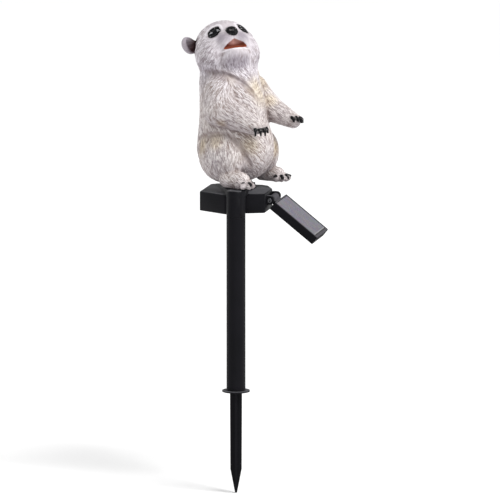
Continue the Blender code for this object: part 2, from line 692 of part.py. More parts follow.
def main():
    clear_scene()
    resin = make_material("painted_resin", (0.62, 0.58, 0.56), 0.6)
    lens = make_material("eye_lens", (0.02, 0.02, 0.022), 0.08, coat=1.0)
    black_plastic = make_material("black_plastic", (0.014, 0.014, 0.016), 0.42)
    stake_plastic = make_material("stake_plastic", (0.018, 0.018, 0.02), 0.5)
    cell_glass = make_material("cell_glass", (0.16, 0.15, 0.2), 0.25, coat=0.6)
    screw_steel = make_material("screw_steel", (0.05, 0.05, 0.055), 0.4, metallic=0.8)

    make_ground_spike(stake_plastic)
    make_stake_tube(stake_plastic)
    make_lamp_housing(black_plastic)
    make_housing_cover(black_plastic)
    make_hinge_screw(screw_steel)
    hinge = panel_hinge_empty()
    make_panel_case(black_plastic, hinge)
    make_solar_cell(cell_glass, hinge)

    frame = Matrix.Translation((*BEAR_CENTRE, BEAR_BASE)) @ Matrix.Rotation(BEAR_TURN, 4, "Z")
    make_bear(resin, frame)
    make_eye("eye_left", 1.0, lens, frame)
    make_eye("eye_right", -1.0, lens, frame)


main()
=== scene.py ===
"""Looks of a garden statue: a painted bear cub on a solar lamp housing, held up by a stake.

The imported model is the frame. Here the bear is carved again with its fur, the hinge screw gets its
cross recess, the housing its crisp edges, and the other pieces their finishes. Lengths are in
metres, but the bear's forms are in hundredths of its height, in its own frame: x forward, y to its
left and z up, from the middle of its underside.
"""

from itertools import product
from math import cos, pi, radians, sin

import bmesh
import bpy
import numpy as np
from mathutils import Euler, Matrix, Vector


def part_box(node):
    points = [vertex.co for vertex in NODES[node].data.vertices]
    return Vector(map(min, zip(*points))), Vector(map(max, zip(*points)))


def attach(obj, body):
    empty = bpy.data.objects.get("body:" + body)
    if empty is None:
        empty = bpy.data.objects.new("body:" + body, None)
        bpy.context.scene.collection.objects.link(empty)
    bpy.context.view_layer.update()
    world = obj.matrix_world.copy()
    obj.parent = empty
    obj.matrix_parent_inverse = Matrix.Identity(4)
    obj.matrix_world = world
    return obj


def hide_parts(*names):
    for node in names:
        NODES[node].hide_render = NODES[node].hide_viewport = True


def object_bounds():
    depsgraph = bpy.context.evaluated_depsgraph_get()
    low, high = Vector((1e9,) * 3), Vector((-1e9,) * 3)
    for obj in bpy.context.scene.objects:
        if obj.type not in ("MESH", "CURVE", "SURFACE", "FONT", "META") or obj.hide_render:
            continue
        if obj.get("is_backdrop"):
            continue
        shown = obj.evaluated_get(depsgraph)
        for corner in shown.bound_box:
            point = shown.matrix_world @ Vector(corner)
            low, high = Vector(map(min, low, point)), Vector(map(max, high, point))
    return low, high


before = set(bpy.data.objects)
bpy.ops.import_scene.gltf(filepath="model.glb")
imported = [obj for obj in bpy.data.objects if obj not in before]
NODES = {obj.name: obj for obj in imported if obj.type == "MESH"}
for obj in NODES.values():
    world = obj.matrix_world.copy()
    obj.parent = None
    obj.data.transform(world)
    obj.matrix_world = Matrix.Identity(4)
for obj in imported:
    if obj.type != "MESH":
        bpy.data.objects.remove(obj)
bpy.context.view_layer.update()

bl_info = {
    "name": "Solar bear statue",
    "version": (1, 0, 0),
    "blender": (4, 5, 0),
    "location": "View3D > Sidebar > Bear statue",
    "description": "Carves the bear and finishes the solar lamp housing and stake",
    "category": "Object",
}

MM = 0.001

# Where the bear sits in the model, and how long one hundredth of its height is
BEAR_UNIT = 1.37 * MM
BEAR_PLACE = (Matrix.Translation((-7.9 * MM, 45.1 * MM, 170.6 * MM))
              @ Matrix.Rotation(radians(-27.7), 4, "Z") @ Matrix.Scale(BEAR_UNIT, 4))

# Details of the bear's paint. Each pair runs from the first colour to the second
# Painted highlight on the brow and lower lip
BROW_LIP_HIGHLIGHT_COLOR = (0.86, 0.83, 0.87)
# Painted shade in the ear cups
EAR_CUP_SHADE_COLOR = (0.03, 0.011, 0.013)
LIP_COLORS = ((0.38, 0.2, 0.175), (0.13, 0.032, 0.02))
THROAT_COLOR = (0.27, 0.056, 0.02)
GREY_EDGE_COLOR = (0.2, 0.17, 0.18)
# Black paint, running to its painted glints
BLACK_AND_GLINT_COLORS = ((0.005, 0.005, 0.006), (0.17, 0.155, 0.155))
# Black lens glass, running to its painted glints
LENS_AND_GLINT_COLORS = ((0.003, 0.003, 0.004), (0.34, 0.34, 0.36))

# Plastics and steel, each darker and paler, and the painted sheen on plastic faces that look up
HOUSING_COLORS = ((0.0055, 0.0055, 0.007), (0.0095, 0.009, 0.0115))
STAKE_COLORS = ((0.005, 0.005, 0.0065), (0.008, 0.0075, 0.01))
STEEL_COLORS = ((0.05, 0.05, 0.055), (0.12, 0.12, 0.13))
TOP_SHEEN_COLOR = (0.11, 0.11, 0.12)

# The panel's top rim with its painted sheen, and the cell with its fingers, its border and the
# painted shadow of the rim along its far side and lower end
RIM_SHEEN_COLOR = (0.075, 0.072, 0.08)
CELL_COLOR = (0.155, 0.145, 0.18)
FINGER_COLOR = (0.2, 0.2, 0.22)
BORDER_COLOR = (0.24, 0.235, 0.25)
SHADOW_COLOR = (0.004, 0.004, 0.005)

# Where the panel turns and how it slopes, and the cell's edges across it and down it
HINGE = Vector((23.6 * MM, 0.0, 159.3 * MM))
PANEL_SLOPE = radians(38.7)
CELL_NEAR = 25.9 * MM
CELL_FAR = 70.1 * MM
CELL_END = 48.5 * MM
FINGER_PITCH = 1.5 * MM

# Cross recess in the hinge screw's head
SCREW_TURN = radians(20.0)
SLOT_SIZE = (0.55 * MM, 1.4 * MM, 2.5 * MM)

# Trunk: the centre and radii of its forms, then the neck's ends and radii
HIPS = ((-2.4, 0.3, 22.0), (23.6, 24.0, 21.8))
WAIST = ((-4.0, 0.3, 42.0), (20.6, 21.3, 24.0))
CHEST = ((-6.6, 0.0, 60.0), (17.5, 19.2, 17.0))
BELLY = ((5.5, 0.5, 22.5), (18.4, 16.5, 20.0))
NECK = ((-7.2, 0.4, 66.0), (-8.6, 0.0, 78.0), 17.2, 17.4)

# Head, in its own frame: x to the nose, y to its left. A form has a centre, radii and a turn
HEAD_AT = (-9.35, -1.4, 82.9)
HEAD_TURN = (-28.7, 35.0, 3.4)
SKULL = ((-1.2, 0.0, 1.2), (17.4, 18.2, 16.2))
CHEEK = ((1.2, 10.0, -5.8), (11.6, 10.4, 10.8))
BRIDGE = ((10.6, 0.0, 0.6), (7.4, 6.2, 4.9), (0.0, 6.0, 0.0))
LIP_PAD = ((11.6, 4.6, -3.6), (6.6, 4.6, 4.6), (22.0, 0.0, 0.0))
JAW = ((9.2, 0.0, -12.6), (9.4, 9.6, 4.9), (0.0, 12.0, 0.0))
TONGUE = ((12.6, 0.0, -10.3), (5.0, 5.4, 1.8), (0.0, 6.0, 0.0))
EYE_AT = (11.3, 9.3, 4.7)
EYE_RADII = (2.3, 4.1, 2.4)
EYE_TURN = (36.0, 10.0, -20.0)
EYE_HOLLOW = ((13.6, 10.6, 4.9), (3.2, 5.0, 3.1), EYE_TURN)
UPPER_LID_AT = (11.3, 9.3, 6.7)
UPPER_LID_RADII = (2.3, 4.0, 1.8)
NOSE_AT = (16.4, 0.0, 2.9)
NOSE_RADII = (2.8, 3.8, 3.3)
NOSE_TURN = (0.0, 30.0, 0.0)
NOSE_TIP = ((16.8, 0.0, 1.3), (1.9, 3.3, 2.3), (0.0, 10.0, 0.0))
NOSTRIL = ((19.0, 1.75, 2.4), (1.5, 0.95, 0.75), (30.0, 20.0, 25.0))
LIP_GROOVE = ((17.6, 0.0, 1.0), (16.6, 0.0, -2.6), 0.35, 0.35)
EAR_AT = (-8.8, 18.8, 8.4)
EAR_RADII = (3.3, 5.3, 5.8)
EAR_TURN = (-24.0, 0.0, 0.0)
EAR_CUP_AT = (-5.8, 17.8, 8.2)
EAR_CUP_RADII = (3.2, 3.5, 4.2)
MOUTH_TOP_DROP = 2.5
MOUTH_ROOF_SLOPE = 0.65
MOUTH_FLOOR_DROP = 9.3
MOUTH_FLOOR_RISE = 0.17
MOUTH_HALF_WIDTH = 7.6
MOUTH_BACK = 10.5

# Places that are painted darker: painted shade on the body first, then on the head, and the smile
# line by the mouth
BELLY_SHADE_AT = (18.0, -9.0, 31.0)
BELLY_SHADE_RADIUS = 9.0
FOREARM_SHADE_AT = (11.0, -22.0, 45.0)
FOREARM_SHADE_RADIUS = 15.0
EAR_SHADE_AT = (-5.0, 16.4, 6.9)
EAR_SHADE_RADII = (6.4, 6.4, 7.0)
CHIN_AT = (10.0, 0.0, -15.0)
CHIN_RADII = (8.0, 9.0, 5.5)
MUZZLE_AT = (14.5, 5.6, -1.6)
MUZZLE_RADII = (5.0, 4.6, 4.2)
SMILE_LINE = ((0.0, 7.4, -8.3), (0.0, 9.0, -11.2))

# Arms: shoulder, elbow, paw and radii. Feet: side, heel, ball and radii. Thighs: as the head's forms
RIGHT_ARM = ((-2.0, -15.5, 58.0), (1.0, -18.4, 47.4), (22.2, -11.2, 38.2), (9.8, 9.8, 10.4, 5.7))
LEFT_ARM = ((-1.0, 16.2, 56.0), (6.0, 19.5, 46.0), (28.0, 19.4, 38.8), (9.4, 8.4, 8.8, 4.9))
RIGHT_FOOT = (-1.0, (8.0, -18.6, 5.4), (18.6, -19.2, 4.6), (6.2, 5.6))
LEFT_FOOT = (1.0, (4.5, 18.4, 5.0), (15.4, 19.6, 4.2), (5.4, 4.9))
RIGHT_THIGH = ((0.6, -15.6, 17.4), (16.4, 11.6, 15.4), (0.0, -10.0, 0.0))
LEFT_THIGH = ((1.5, 15.2, 18.4), (16.2, 11.8, 16.4), (0.0, -10.0, 0.0))

# Toes: the arc that they fan over and its turn outwards, their height, how far root and tip stand
# from the foot's edge, the tip's drop, and radii. A toe's claw lies on top of its tip
TOE_COUNT = 5
TOE_SPREAD = radians(136.0)
TOE_TURN = radians(6.0)
TOE_HEIGHT = 3.0
TOE_REACH = 1.2
TOE_DROP = np.array((0.0, 0.0, -0.6))
TOE_RADII = (2.5, 2.2)
TOE_CLAW_RADII = (1.25, 0.95)

# Each claw's root and tip, from the middle of its paw, and where and how far its bend bows out
PAW_CLAWS = {
    RIGHT_ARM: (((3.9, -4.6, -0.2), (5.2, -5.1, -5.0)), ((6.3, -2.6, -0.2), (7.7, -2.8, -5.5)),
                ((7.2, 0.1, 0.0), (8.6, 0.3, -5.4)), ((6.6, 3.0, 0.0), (7.9, 3.7, -4.8))),
    LEFT_ARM: (((1.0, -3.6, 3.0), (3.9, -3.9, 0.2)), ((2.9, -1.6, 3.2), (5.7, -1.7, 0.0)),
               ((3.6, 0.9, 2.8), (6.1, 1.0, -0.8)), ((3.1, 3.2, 2.0), (5.2, 3.6, -1.4))),
}
CLAW_RADIUS = {RIGHT_ARM: 0.95, LEFT_ARM: 0.88}
CLAW_BOW = np.array((0.5, 0.0, 0.3))
CLAW_BEND_AT = 0.45

# Folds in the fur: their points, radius and softness, and the steps between two points
RUFF_FOLD = ((-9.0, -19.3, 69.8), (-2.0, -17.1, 69.1), (5.4, -12.2, 67.4), (11.5, -4.9, 60.6),
             (14.6, 1.3, 52.7))
HAUNCH_FOLD = ((-16.0, -18.7, 27.4), (-8.4, -21.9, 30.3), (-0.5, -21.8, 32.4), (7.6, -18.8, 32.6))
GROIN_FOLD = ((7.6, -18.8, 32.6), (13.2, -16.5, 27.0), (16.6, -13.6, 20.4), (17.6, -8.9, 12.6))
ELBOW_FOLD = ((5.0, -24.6, 42.0), (7.1, -21.6, 38.4), (10.5, -19.2, 36.6))
FOLDS = (
    (RUFF_FOLD, 1.15, 1.3),
    (HAUNCH_FOLD, 0.7, 1.6),
    (GROIN_FOLD, 0.8, 2.0),
    (ELBOW_FOLD, 0.7, 1.0),
)
FOLD_STEPS = 7

# The fur's lie: where it parts on each shoulder and at the nose, and where the face is bare
RIGHT_CROWN = (2.6, -10.5, 66.0)
LEFT_CROWN = (2.6, 10.5, 64.0)
NOSE_FRONT = (20.0, 0.0, 1.0)
FACE_MIDDLE = (19.0, 0.0, -1.0)
DOWN = np.array((0.0, 0.0, -1.0))

# The fur's two layers of strokes: width and length against the settings, and strength
WIDE_LAYER = (1.8, 1.6, 0.13)
NARROW_LAYER = (1.0, 1.0, 0.25)
LAYER_SHIFT = 31.0
CUT_LEVEL = 0.62
GRAIN_SIZE = 64

# The furthest that a distance to a painted place is kept
PAINT_REACH = 4.0

# Hairs drawn in the paint, and the heights between which the body's colour becomes the head's
HAIR_WIDTH = 0.55 * MM
HAIR_LENGTH = 2.8 * MM
HAIR_TAPS = 9
BODY_TONE_TOP = 236.0 * MM
HEAD_TONE_FOOT = 264.0 * MM

# Places of the ochre tints on the fur, with their radii and strengths
OCHRE_TINTS = (
    ((12.0, 2.0, 60.0), 11.0, 0.75),
    ((12.6, 5.0, 54.8), 12.0, 0.75),
    ((6.6, 15.1, 62.4), 12.0, 1.0),
    ((12.4, 14.9, 50.6), 8.0, 0.8),
    ((-10.0, -23.0, 24.5), 9.0, 0.8),
    ((1.7, -23.1, 28.1), 8.0, 0.8),
    ((18.4, -10.6, 25.5), 9.0, 0.55),
    ((17.9, 14.1, 22.1), 9.0, 0.8),
    ((6.7, -23.5, 39.8), 5.0, 0.6),
    ((3.0, -12.0, 64.0), 7.0, 0.45),
)

# Stage: soft lights by name, place, size and power, then the key light and the white surroundings
SOFT_LIGHTS = (
    ("left_light", (-1.8, 0.9, 0.9), 1.2, 14.0),
    ("right_light", (1.9, 0.2, 1.0), 1.2, 10.0),
    ("front_light", (0.7, -2.4, 0.08), 0.16, 3.0),
)
LIGHTS_AIM = Vector((0.0, 0.03, 0.2))
KEY_FROM = Vector((0.6, -0.3, 0.9))
KEY_POWER = 2.4
KEY_SPREAD = radians(26.0)
SURROUND_STRENGTH = 0.43
WHITE = (1.0, 1.0, 1.0, 1.0)
FLOOR_RADIUS = 30.0

# Camera: the width that it takes in at the statue, and its aim to the right and up from the origin
VIEW_WIDTH = 0.42017
AIM_RIGHT = 0.01176
AIM_UP = 0.1187
SENSOR_WIDTH = 36.0


# The bear's form, as distances from points to its skin

def turned(angles):
    """A rotation whose columns are a form's forward, left and up after turn, lift and roll."""
    turn, lift, roll = (radians(angle) for angle in angles)
    forward = np.array((cos(lift) * cos(turn), cos(lift) * sin(turn), sin(lift)))
    left = np.array((-sin(turn), cos(turn), 0.0))
    upward = np.cross(forward, left)
    return np.array((forward, left * cos(roll) + upward * sin(roll),
                     upward * cos(roll) - left * sin(roll))).T


def egg(points, centre, radii, angles=(0.0, 0.0, 0.0)):
    """Distance to an ellipsoid, close to exact near its surface."""
    local = (points - np.asarray(centre)) @ turned(angles)
    radii = np.asarray(radii)
    near = np.linalg.norm(local / radii, axis=1)
    slope = np.linalg.norm(local / radii ** 2, axis=1) + 1e-9
    return near * (near - 1.0) / slope


def limb(points, start, end, start_radius, end_radius):
    """Distance to a round limb that tapers from one point to another."""
    start = np.asarray(start)
    along = np.asarray(end) - start
    share = np.clip((points - start) @ along / (along @ along), 0.0, 1.0)
    away = np.linalg.norm(points - start - share[:, None] * along, axis=1)
    return away - (start_radius + (end_radius - start_radius) * share)


def merge(first, second, blend):
    """Two forms run together, with a fillet as wide as blend."""
    share = np.clip(0.5 + 0.5 * (second - first) / blend, 0.0, 1.0)
    return second + (first - second) * share - blend * share * (1.0 - share)


def carve(form, hollow, blend):
    """A form with a hollow cut out of it, and the cut's edge rounded."""
    return -merge(-form, hollow, blend)


def overlap(first, second, blend):
    """What two forms share, with its edge rounded."""
    return -merge(-first, -second, blend)


def both_sides(points):
    """The points folded onto the left side, for forms that are the same on both."""
    folded = points.copy()
    folded[:, 1] = np.abs(folded[:, 1])
    return folded


def head_points(points):
    return (points - np.asarray(HEAD_AT)) @ turned(HEAD_TURN)


def grown(radii, amount):
    return tuple(radius + amount for radius in radii)


def mouth_form(sides):
    """The open mouth: a roof that rises to a point under the nose, over a flat floor."""
    forward, side, up = sides.T
    roof = (up + MOUTH_TOP_DROP + MOUTH_ROOF_SLOPE * side) / (1.0 + MOUTH_ROOF_SLOPE ** 2) ** 0.5
    floor = MOUTH_FLOOR_RISE * side - MOUTH_FLOOR_DROP - up
    mouth = overlap(roof, floor, 0.6)
    mouth = overlap(mouth, side - MOUTH_HALF_WIDTH, 0.8)
    return overlap(mouth, MOUTH_BACK - forward, 1.0)


def nose_form(local):
    """The nose leather: broad above, and narrower where it meets the lip."""
    leather = egg(local, NOSE_AT, NOSE_RADII, NOSE_TURN)
    return merge(leather, egg(local, *NOSE_TIP), 1.0)


def nostril_form(sides):
    return egg(sides, *NOSTRIL)


def eye_rim_form(sides):
    """The black lids: thin below the lens, and broad above its outer half."""
    rim = egg(sides, EYE_AT, grown(EYE_RADII, 0.35), EYE_TURN)
    return merge(rim, egg(sides, UPPER_LID_AT, UPPER_LID_RADII, EYE_TURN), 0.6)


def head_form(points):
    """The head with its muzzle, open mouth, eye sockets and cupped ears."""
    local = head_points(points)
    sides = both_sides(local)
    form = merge(egg(local, *SKULL), egg(sides, *CHEEK), 4.0)
    form = merge(form, egg(local, *BRIDGE), 3.0)
    form = merge(form, egg(sides, *LIP_PAD), 3.0)
    form = merge(form, egg(local, *JAW), 2.0)
    form = carve(form, mouth_form(sides), 0.5)
    form = merge(form, egg(local, *TONGUE), 0.5)
    form = merge(form, carve(nose_form(local), nostril_form(sides), 0.3), 0.3)
    form = carve(form, limb(local, *LIP_GROOVE), 0.4)
    form = carve(form, egg(sides, *EYE_HOLLOW), 2.0)
    lid_radii = (EYE_RADII[0] - 0.3, EYE_RADII[1] + 0.9, EYE_RADII[2] + 0.8)
    form = merge(form, egg(sides, EYE_AT, lid_radii, EYE_TURN), 0.6)
    form = carve(form, egg(sides, EYE_AT, grown(EYE_RADII, 0.12), EYE_TURN), 0.15)
    ear = egg(sides, EAR_AT, EAR_RADII, EAR_TURN)
    cup = egg(sides, EAR_CUP_AT, EAR_CUP_RADII, EAR_TURN)
    return merge(form, carve(ear, cup, 0.8), 1.5)


def torso_form(points):
    form = merge(egg(points, *HIPS), egg(points, *WAIST), 8.0)
    form = merge(form, egg(points, *CHEST), 8.0)
    form = merge(form, egg(points, *BELLY), 3.0)
    return merge(form, limb(points, *NECK), 5.0)


def toe_lines(foot):
    """Each toe's root and tip, fanned over an arc in front of the foot."""
    side, _, ball, sizes = foot
    lines = []
    for index in range(TOE_COUNT):
        share = index / (TOE_COUNT - 1) - 0.5
        angle = TOE_TURN * side + TOE_SPREAD * share
        direction = np.array((cos(angle), sin(angle), 0.0))
        middle = np.array((ball[0], ball[1], TOE_HEIGHT))
        root = middle + direction * (sizes[1] - TOE_REACH)
        tip = middle + direction * (sizes[1] + TOE_REACH) + TOE_DROP
        lines.append((root, tip))
    return lines


def toes_form(points, foot):
    toes = [limb(points, root, tip, *TOE_RADII) for root, tip in toe_lines(foot)]
    return np.minimum.reduce(toes)


def toe_claws_form(points, foot):
    """Short claws that lie on the front of each toe."""
    claws = []
    for root, tip in toe_lines(foot):
        forward = (tip - root) / np.linalg.norm(tip - root)
        start = tip + np.array((0.0, 0.0, 1.9)) + forward * 0.7
        end = tip + np.array((0.0, 0.0, 0.9)) + forward * 1.9
        claws.append(limb(points, start, end, *TOE_CLAW_RADII))
    return np.minimum.reduce(claws)


def claw_paths(arm):
    """The root, bend and tip of each claw of a paw."""
    paw = np.asarray(arm[2])
    for root, tip in PAW_CLAWS[arm]:
        bend = np.asarray(root) * (1.0 - CLAW_BEND_AT) + np.asarray(tip) * CLAW_BEND_AT + CLAW_BOW
        yield paw + root, paw + bend, paw + tip


def paw_claws_form(points, arm):
    """Four claws that hang over the front edge of a paw."""
    radius = CLAW_RADIUS[arm]
    claws = []
    for root, bend, tip in claw_paths(arm):
        claws.append(merge(limb(points, root, bend, 0.95 * radius, radius),
                           limb(points, bend, tip, radius, 0.5 * radius), 0.3))
    return np.minimum.reduce(claws)


def claw_tips_form(points, arm):
    """The black part of each claw, below its furred root."""
    radius = CLAW_RADIUS[arm]
    tips = []
    for root, bend, tip in claw_paths(arm):
        tips.append(limb(points, 0.5 * (root + bend), bend, radius, radius))
        tips.append(limb(points, bend, tip, radius, 0.8 * radius))
    return np.minimum.reduce(tips)


def arm_form(points, arm):
    shoulder, elbow, paw, sizes = arm
    return merge(limb(points, shoulder, elbow, sizes[0], sizes[1]),
                 limb(points, elbow, paw, sizes[2], sizes[3]), 3.0)


def foot_form(points, foot):
    return limb(points, foot[1], foot[2], *foot[3])


def body_form(points):
    """Distance from points to the bear's skin before the folds are cut."""
    form = torso_form(points)
    for thigh in (RIGHT_THIGH, LEFT_THIGH):
        form = merge(form, egg(points, *thigh), 1.0)
    for foot in (RIGHT_FOOT, LEFT_FOOT):
        form = merge(form, foot_form(points, foot), 0.9)
        form = merge(form, toes_form(points, foot), 0.9)
        form = merge(form, toe_claws_form(points, foot), 0.12)
    for arm in (RIGHT_ARM, LEFT_ARM):
        form = merge(form, arm_form(points, arm), 1.6)
        form = merge(form, paw_claws_form(points, arm), 0.2)
    return merge(form, head_form(points), 3.5)


def fold_lines():
    """Each fold's places on the skin, its radii, which taper at both ends, and its softness."""
    lines = []
    for path, radius, softness in FOLDS:
        path = np.asarray(path)
        spots = np.linspace(0.0, len(path) - 1.0, FOLD_STEPS * (len(path) - 1) + 1)
        first = np.minimum(spots.astype(int), len(path) - 2)
        part = (spots - first)[:, None]
        places = path[first] * (1.0 - part) + path[first + 1] * part
        for _ in range(3):
            for _ in range(6):
                places[1:-1] = 0.5 * places[1:-1] + 0.25 * (places[:-2] + places[2:])
            places = settle(places, 3, body_form)
        radii = radius * (0.2 + 0.8 * fade(np.minimum(spots, spots[-1] - spots), 0.0, 0.9))
        lines.append((places, radii, softness))
    return lines


def fold_form(points, places, radii):
    """Distance to a fold's round groove, only measured near it."""
    reach = 5.0
    form = np.full(len(points), reach)
    low = places.min(axis=0) - reach
    high = places.max(axis=0) + reach
    near = ((points > low) & (points < high)).all(axis=1)
    if near.any():
        form[near] = np.minimum.reduce([
            limb(points[near], *ends) for ends in zip(places, places[1:], radii, radii[1:])])
    return form


def bear_form(points, folds):
    """Distance from points to the bear's skin, below zero inside."""
    form = body_form(points)
    for places, radii, softness in folds:
        form = carve(form, fold_form(points, places, radii), softness)
    return np.maximum(form, -points[:, 2])


def settle(points, rounds, distance_to):
    """Move each point along a form's slope until it lies on its skin."""
    step = 0.04
    longest = 1.0
    for _ in range(rounds):
        distance = distance_to(points)
        slope = np.empty_like(points)
        for axis in range(3):
            nudge = np.zeros(3)
            nudge[axis] = step
            slope[:, axis] = (distance_to(points + nudge) - distance) / step
        steep = (slope ** 2).sum(axis=1) + 1e-6
        move = -distance[:, None] * slope / steep[:, None]
        length = np.linalg.norm(move, axis=1, keepdims=True) + 1e-9
        points = points + move * np.minimum(1.0, longest / length)
    return points


# The fur: which way it lies, and how deep its strokes are cut

def fade(value, start, end):
    """0 before start and 1 after end, smooth between them."""
    share = np.clip((value - start) / (end - start), 0.0, 1.0)
    return share * share * (3.0 - 2.0 * share)


def unit(vectors):
    return vectors / (np.linalg.norm(vectors, axis=1, keepdims=True) + 1e-9)


def away_from(points, centre):
    return unit(points - np.asarray(centre))


def torso_flow(points):
    """Fur lies down the body, and sweeps from its sides to the middle of its front."""
    around = np.arctan2(points[:, 1], points[:, 0] + 5.0)
    side = np.sign(around)
    sweep = -side * (1.0 - fade(np.abs(around), radians(60.0), radians(135.0)))
    sweep = sweep * fade(np.abs(around), 0.0, radians(9.0))
    tangent = np.stack([-np.sin(around), np.cos(around), np.zeros(len(points))], axis=1)
    return unit(tangent * (1.1 * sweep)[:, None] + DOWN)


def head_flow(points):
    """Fur lies back from the nose, and down at the jaw."""
    local = head_points(points)
    return unit(away_from(local, NOSE_FRONT) @ turned(HEAD_TURN).T + 0.25 * DOWN)


def arm_flow(points, arm, crown):
    """Fur fans from the top of the shoulder, then lies along the forearm."""
    elbow, paw = (np.asarray(place) for place in arm[1:3])
    along = (paw - elbow) / np.linalg.norm(paw - elbow)
    share = fade((points - elbow) @ along, -4.0, 10.0)[:, None]
    return unit(away_from(points, crown) * (1.0 - share) + (along + 0.2 * DOWN) * share)


def fur_flow(points):
    """The way the fur lies at each point, before it is laid on the skin."""
    parts = [
        (torso_form(points), torso_flow(points), 1.0),
        (head_form(points) - 1.0, head_flow(points), 1.4),
    ]
    for arm, crown in ((RIGHT_ARM, RIGHT_CROWN), (LEFT_ARM, LEFT_CROWN)):
        parts.append((arm_form(points, arm), arm_flow(points, arm, crown), 1.2))
    for thigh, outwards in ((RIGHT_THIGH, -0.1), (LEFT_THIGH, 0.1)):
        parts.append((egg(points, *thigh), DOWN + (0.12, outwards, 0.0), 1.3))
    for foot, outwards in ((RIGHT_FOOT, -0.1), (LEFT_FOOT, 0.1)):
        parts.append((foot_form(points, foot), np.array((1.0, outwards, -0.5)), 1.5))
    flow = np.zeros_like(points)
    for distance, direction, weight in parts:
        flow += direction * (weight * np.exp(-(np.maximum(distance, 0.0) / 1.6) ** 2))[:, None]
    return unit(flow)


def grain(points, cell, table):
    """Smooth random values over space, with features one cell wide."""
    scaled = points / cell
    base = np.floor(scaled).astype(np.int64)
    part = scaled - base
    part = part * part * (3.0 - 2.0 * part)
    size = len(table)
    total = np.zeros(len(points))
    for corner in product((0, 1), repeat=3):
        place = (base + corner) % size
        weight = np.prod(np.where(corner, part, 1.0 - part), axis=1)
        total += weight * table[place[:, 0], place[:, 1], place[:, 2]]
    return total


def strokes(points, flow, width, length, table):
    """Random values drawn out along the fur's lie: strokes of a given width and length."""
    taps = max(5, int(round(length / (0.55 * width))))
    total = np.zeros(len(points))
    for index in range(taps):
        share = index / (taps - 1) - 0.5
        weight = cos(pi * share) ** 2 + 0.1
        total += weight * grain(points + flow * (share * length), width, table)
    total -= total.mean()
    return total / total.std()


def lay_on_skin(directions, normals):
    """The directions, turned to run along the skin."""
    across = (directions * normals).sum(axis=1, keepdims=True)
    return unit(directions - normals * across)


def seams(points):
    """How near each point is to a line where a limb meets the body, from 0 to 1."""
    body = torso_form(points)
    near = np.zeros(len(points))
    limbs = [(arm_form(points, arm), 0.8) for arm in (RIGHT_ARM, LEFT_ARM)]
    limbs += [(egg(points, *thigh), 0.45) for thigh in (RIGHT_THIGH, LEFT_THIGH)]
    limbs += [(foot_form(points, foot), 0.7) for foot in (RIGHT_FOOT, LEFT_FOOT)]
    for distance, strength in limbs:
        away = np.hypot(distance, body)
        near = np.maximum(near, strength * (1.0 - fade(away, 0.4, 3.6)))
    return near


def distances(points, centre, radii=1.0):
    """How far each point is from a centre, measured in an ellipsoid's radii if they are given."""
    return np.linalg.norm((points - np.asarray(centre)) / np.asarray(radii), axis=1)


def fur_share(points):
    """How much fur a point carries: none on claws, nose, eyes and mouth, little on the face."""
    local = head_points(points)
    sides = both_sides(local)
    bare = np.minimum.reduce([
        paw_claws_form(points, RIGHT_ARM), paw_claws_form(points, LEFT_ARM),
        nose_form(local),
        egg(sides, EYE_AT, grown(EYE_RADII, 0.8), EYE_TURN),
        mouth_form(sides) + 0.2,
        toe_claws_form(points, RIGHT_FOOT), toe_claws_form(points, LEFT_FOOT),
    ])
    amount = fade(bare, 0.1, 1.2)
    amount *= 0.05 + 0.95 * fade(distances(local, FACE_MIDDLE), 9.0, 25.0)
    amount *= fade(points[:, 2], 0.1, 1.2)
    ear = egg(sides, EAR_AT, EAR_RADII, EAR_TURN)
    return amount * (0.08 + 0.92 * fade(ear, 0.2, 2.0))


def read_points(mesh):
    flat = np.empty(len(mesh.vertices) * 3, dtype=np.float32)
    mesh.vertices.foreach_get("co", flat)
    return flat.reshape(-1, 3).astype(np.float64)


def write_points(mesh, points):
    mesh.vertices.foreach_set("co", points.astype(np.float32).ravel())
    mesh.update()


def read_normals(mesh):
    flat = np.empty(len(mesh.vertices) * 3, dtype=np.float32)
    mesh.vertex_normals.foreach_get("vector", flat)
    return flat.reshape(-1, 3).astype(np.float64)


def smoothed(mesh, points, rounds):
    """The points after each is moved towards the middle of its neighbours, round after round."""
    flat = np.empty(len(mesh.edges) * 2, dtype=np.int32)
    mesh.edges.foreach_get("vertices", flat)
    first, second = flat.reshape(-1, 2).T
    count = len(points)
    ends = np.concatenate((first, second))
    others = np.concatenate((second, first))
    links = np.bincount(ends, minlength=count)
    smooth = points.copy()
    for _ in range(rounds):
        for axis in range(3):
            total = np.bincount(ends, weights=smooth[others, axis], minlength=count)
            smooth[:, axis] = 0.5 * smooth[:, axis] + 0.5 * total / links
    return smooth


def cavities(mesh, points, normals, rounds):
    """How far each point lies below its smoothed surroundings, above zero in a hollow."""
    return ((smoothed(mesh, points, rounds) - points) * normals).sum(axis=1)


def ease_folds(mesh, folds):
    """Smooth the mesh round the folds, so that no pinch is carried over to the finer mesh."""
    points = read_points(mesh)
    into_fold = np.minimum.reduce([fold_form(points, *fold[:2]) for fold in folds])
    share = (1.0 - fade(into_fold, 2.5, 4.5))[:, None]
    write_points(mesh, points + (smoothed(mesh, points, 12) - points) * share)


def write_attribute(mesh, name, values):
    attribute = mesh.attributes.new(name, "FLOAT", "POINT")
    attribute.data.foreach_set("value", np.asarray(values, dtype=np.float32))


# Helpers for objects

def select_only(*pieces):
    bpy.ops.object.select_all(action="DESELECT")
    for piece in pieces:
        piece.select_set(True)
    bpy.context.view_layer.objects.active = pieces[0] if pieces else None


def apply_modifier(piece, kind, **values):
    select_only(piece)
    step = piece.modifiers.new(kind.lower(), kind)
    for name, value in values.items():
        setattr(step, name, value)
    bpy.ops.object.modifier_apply(modifier=step.name)


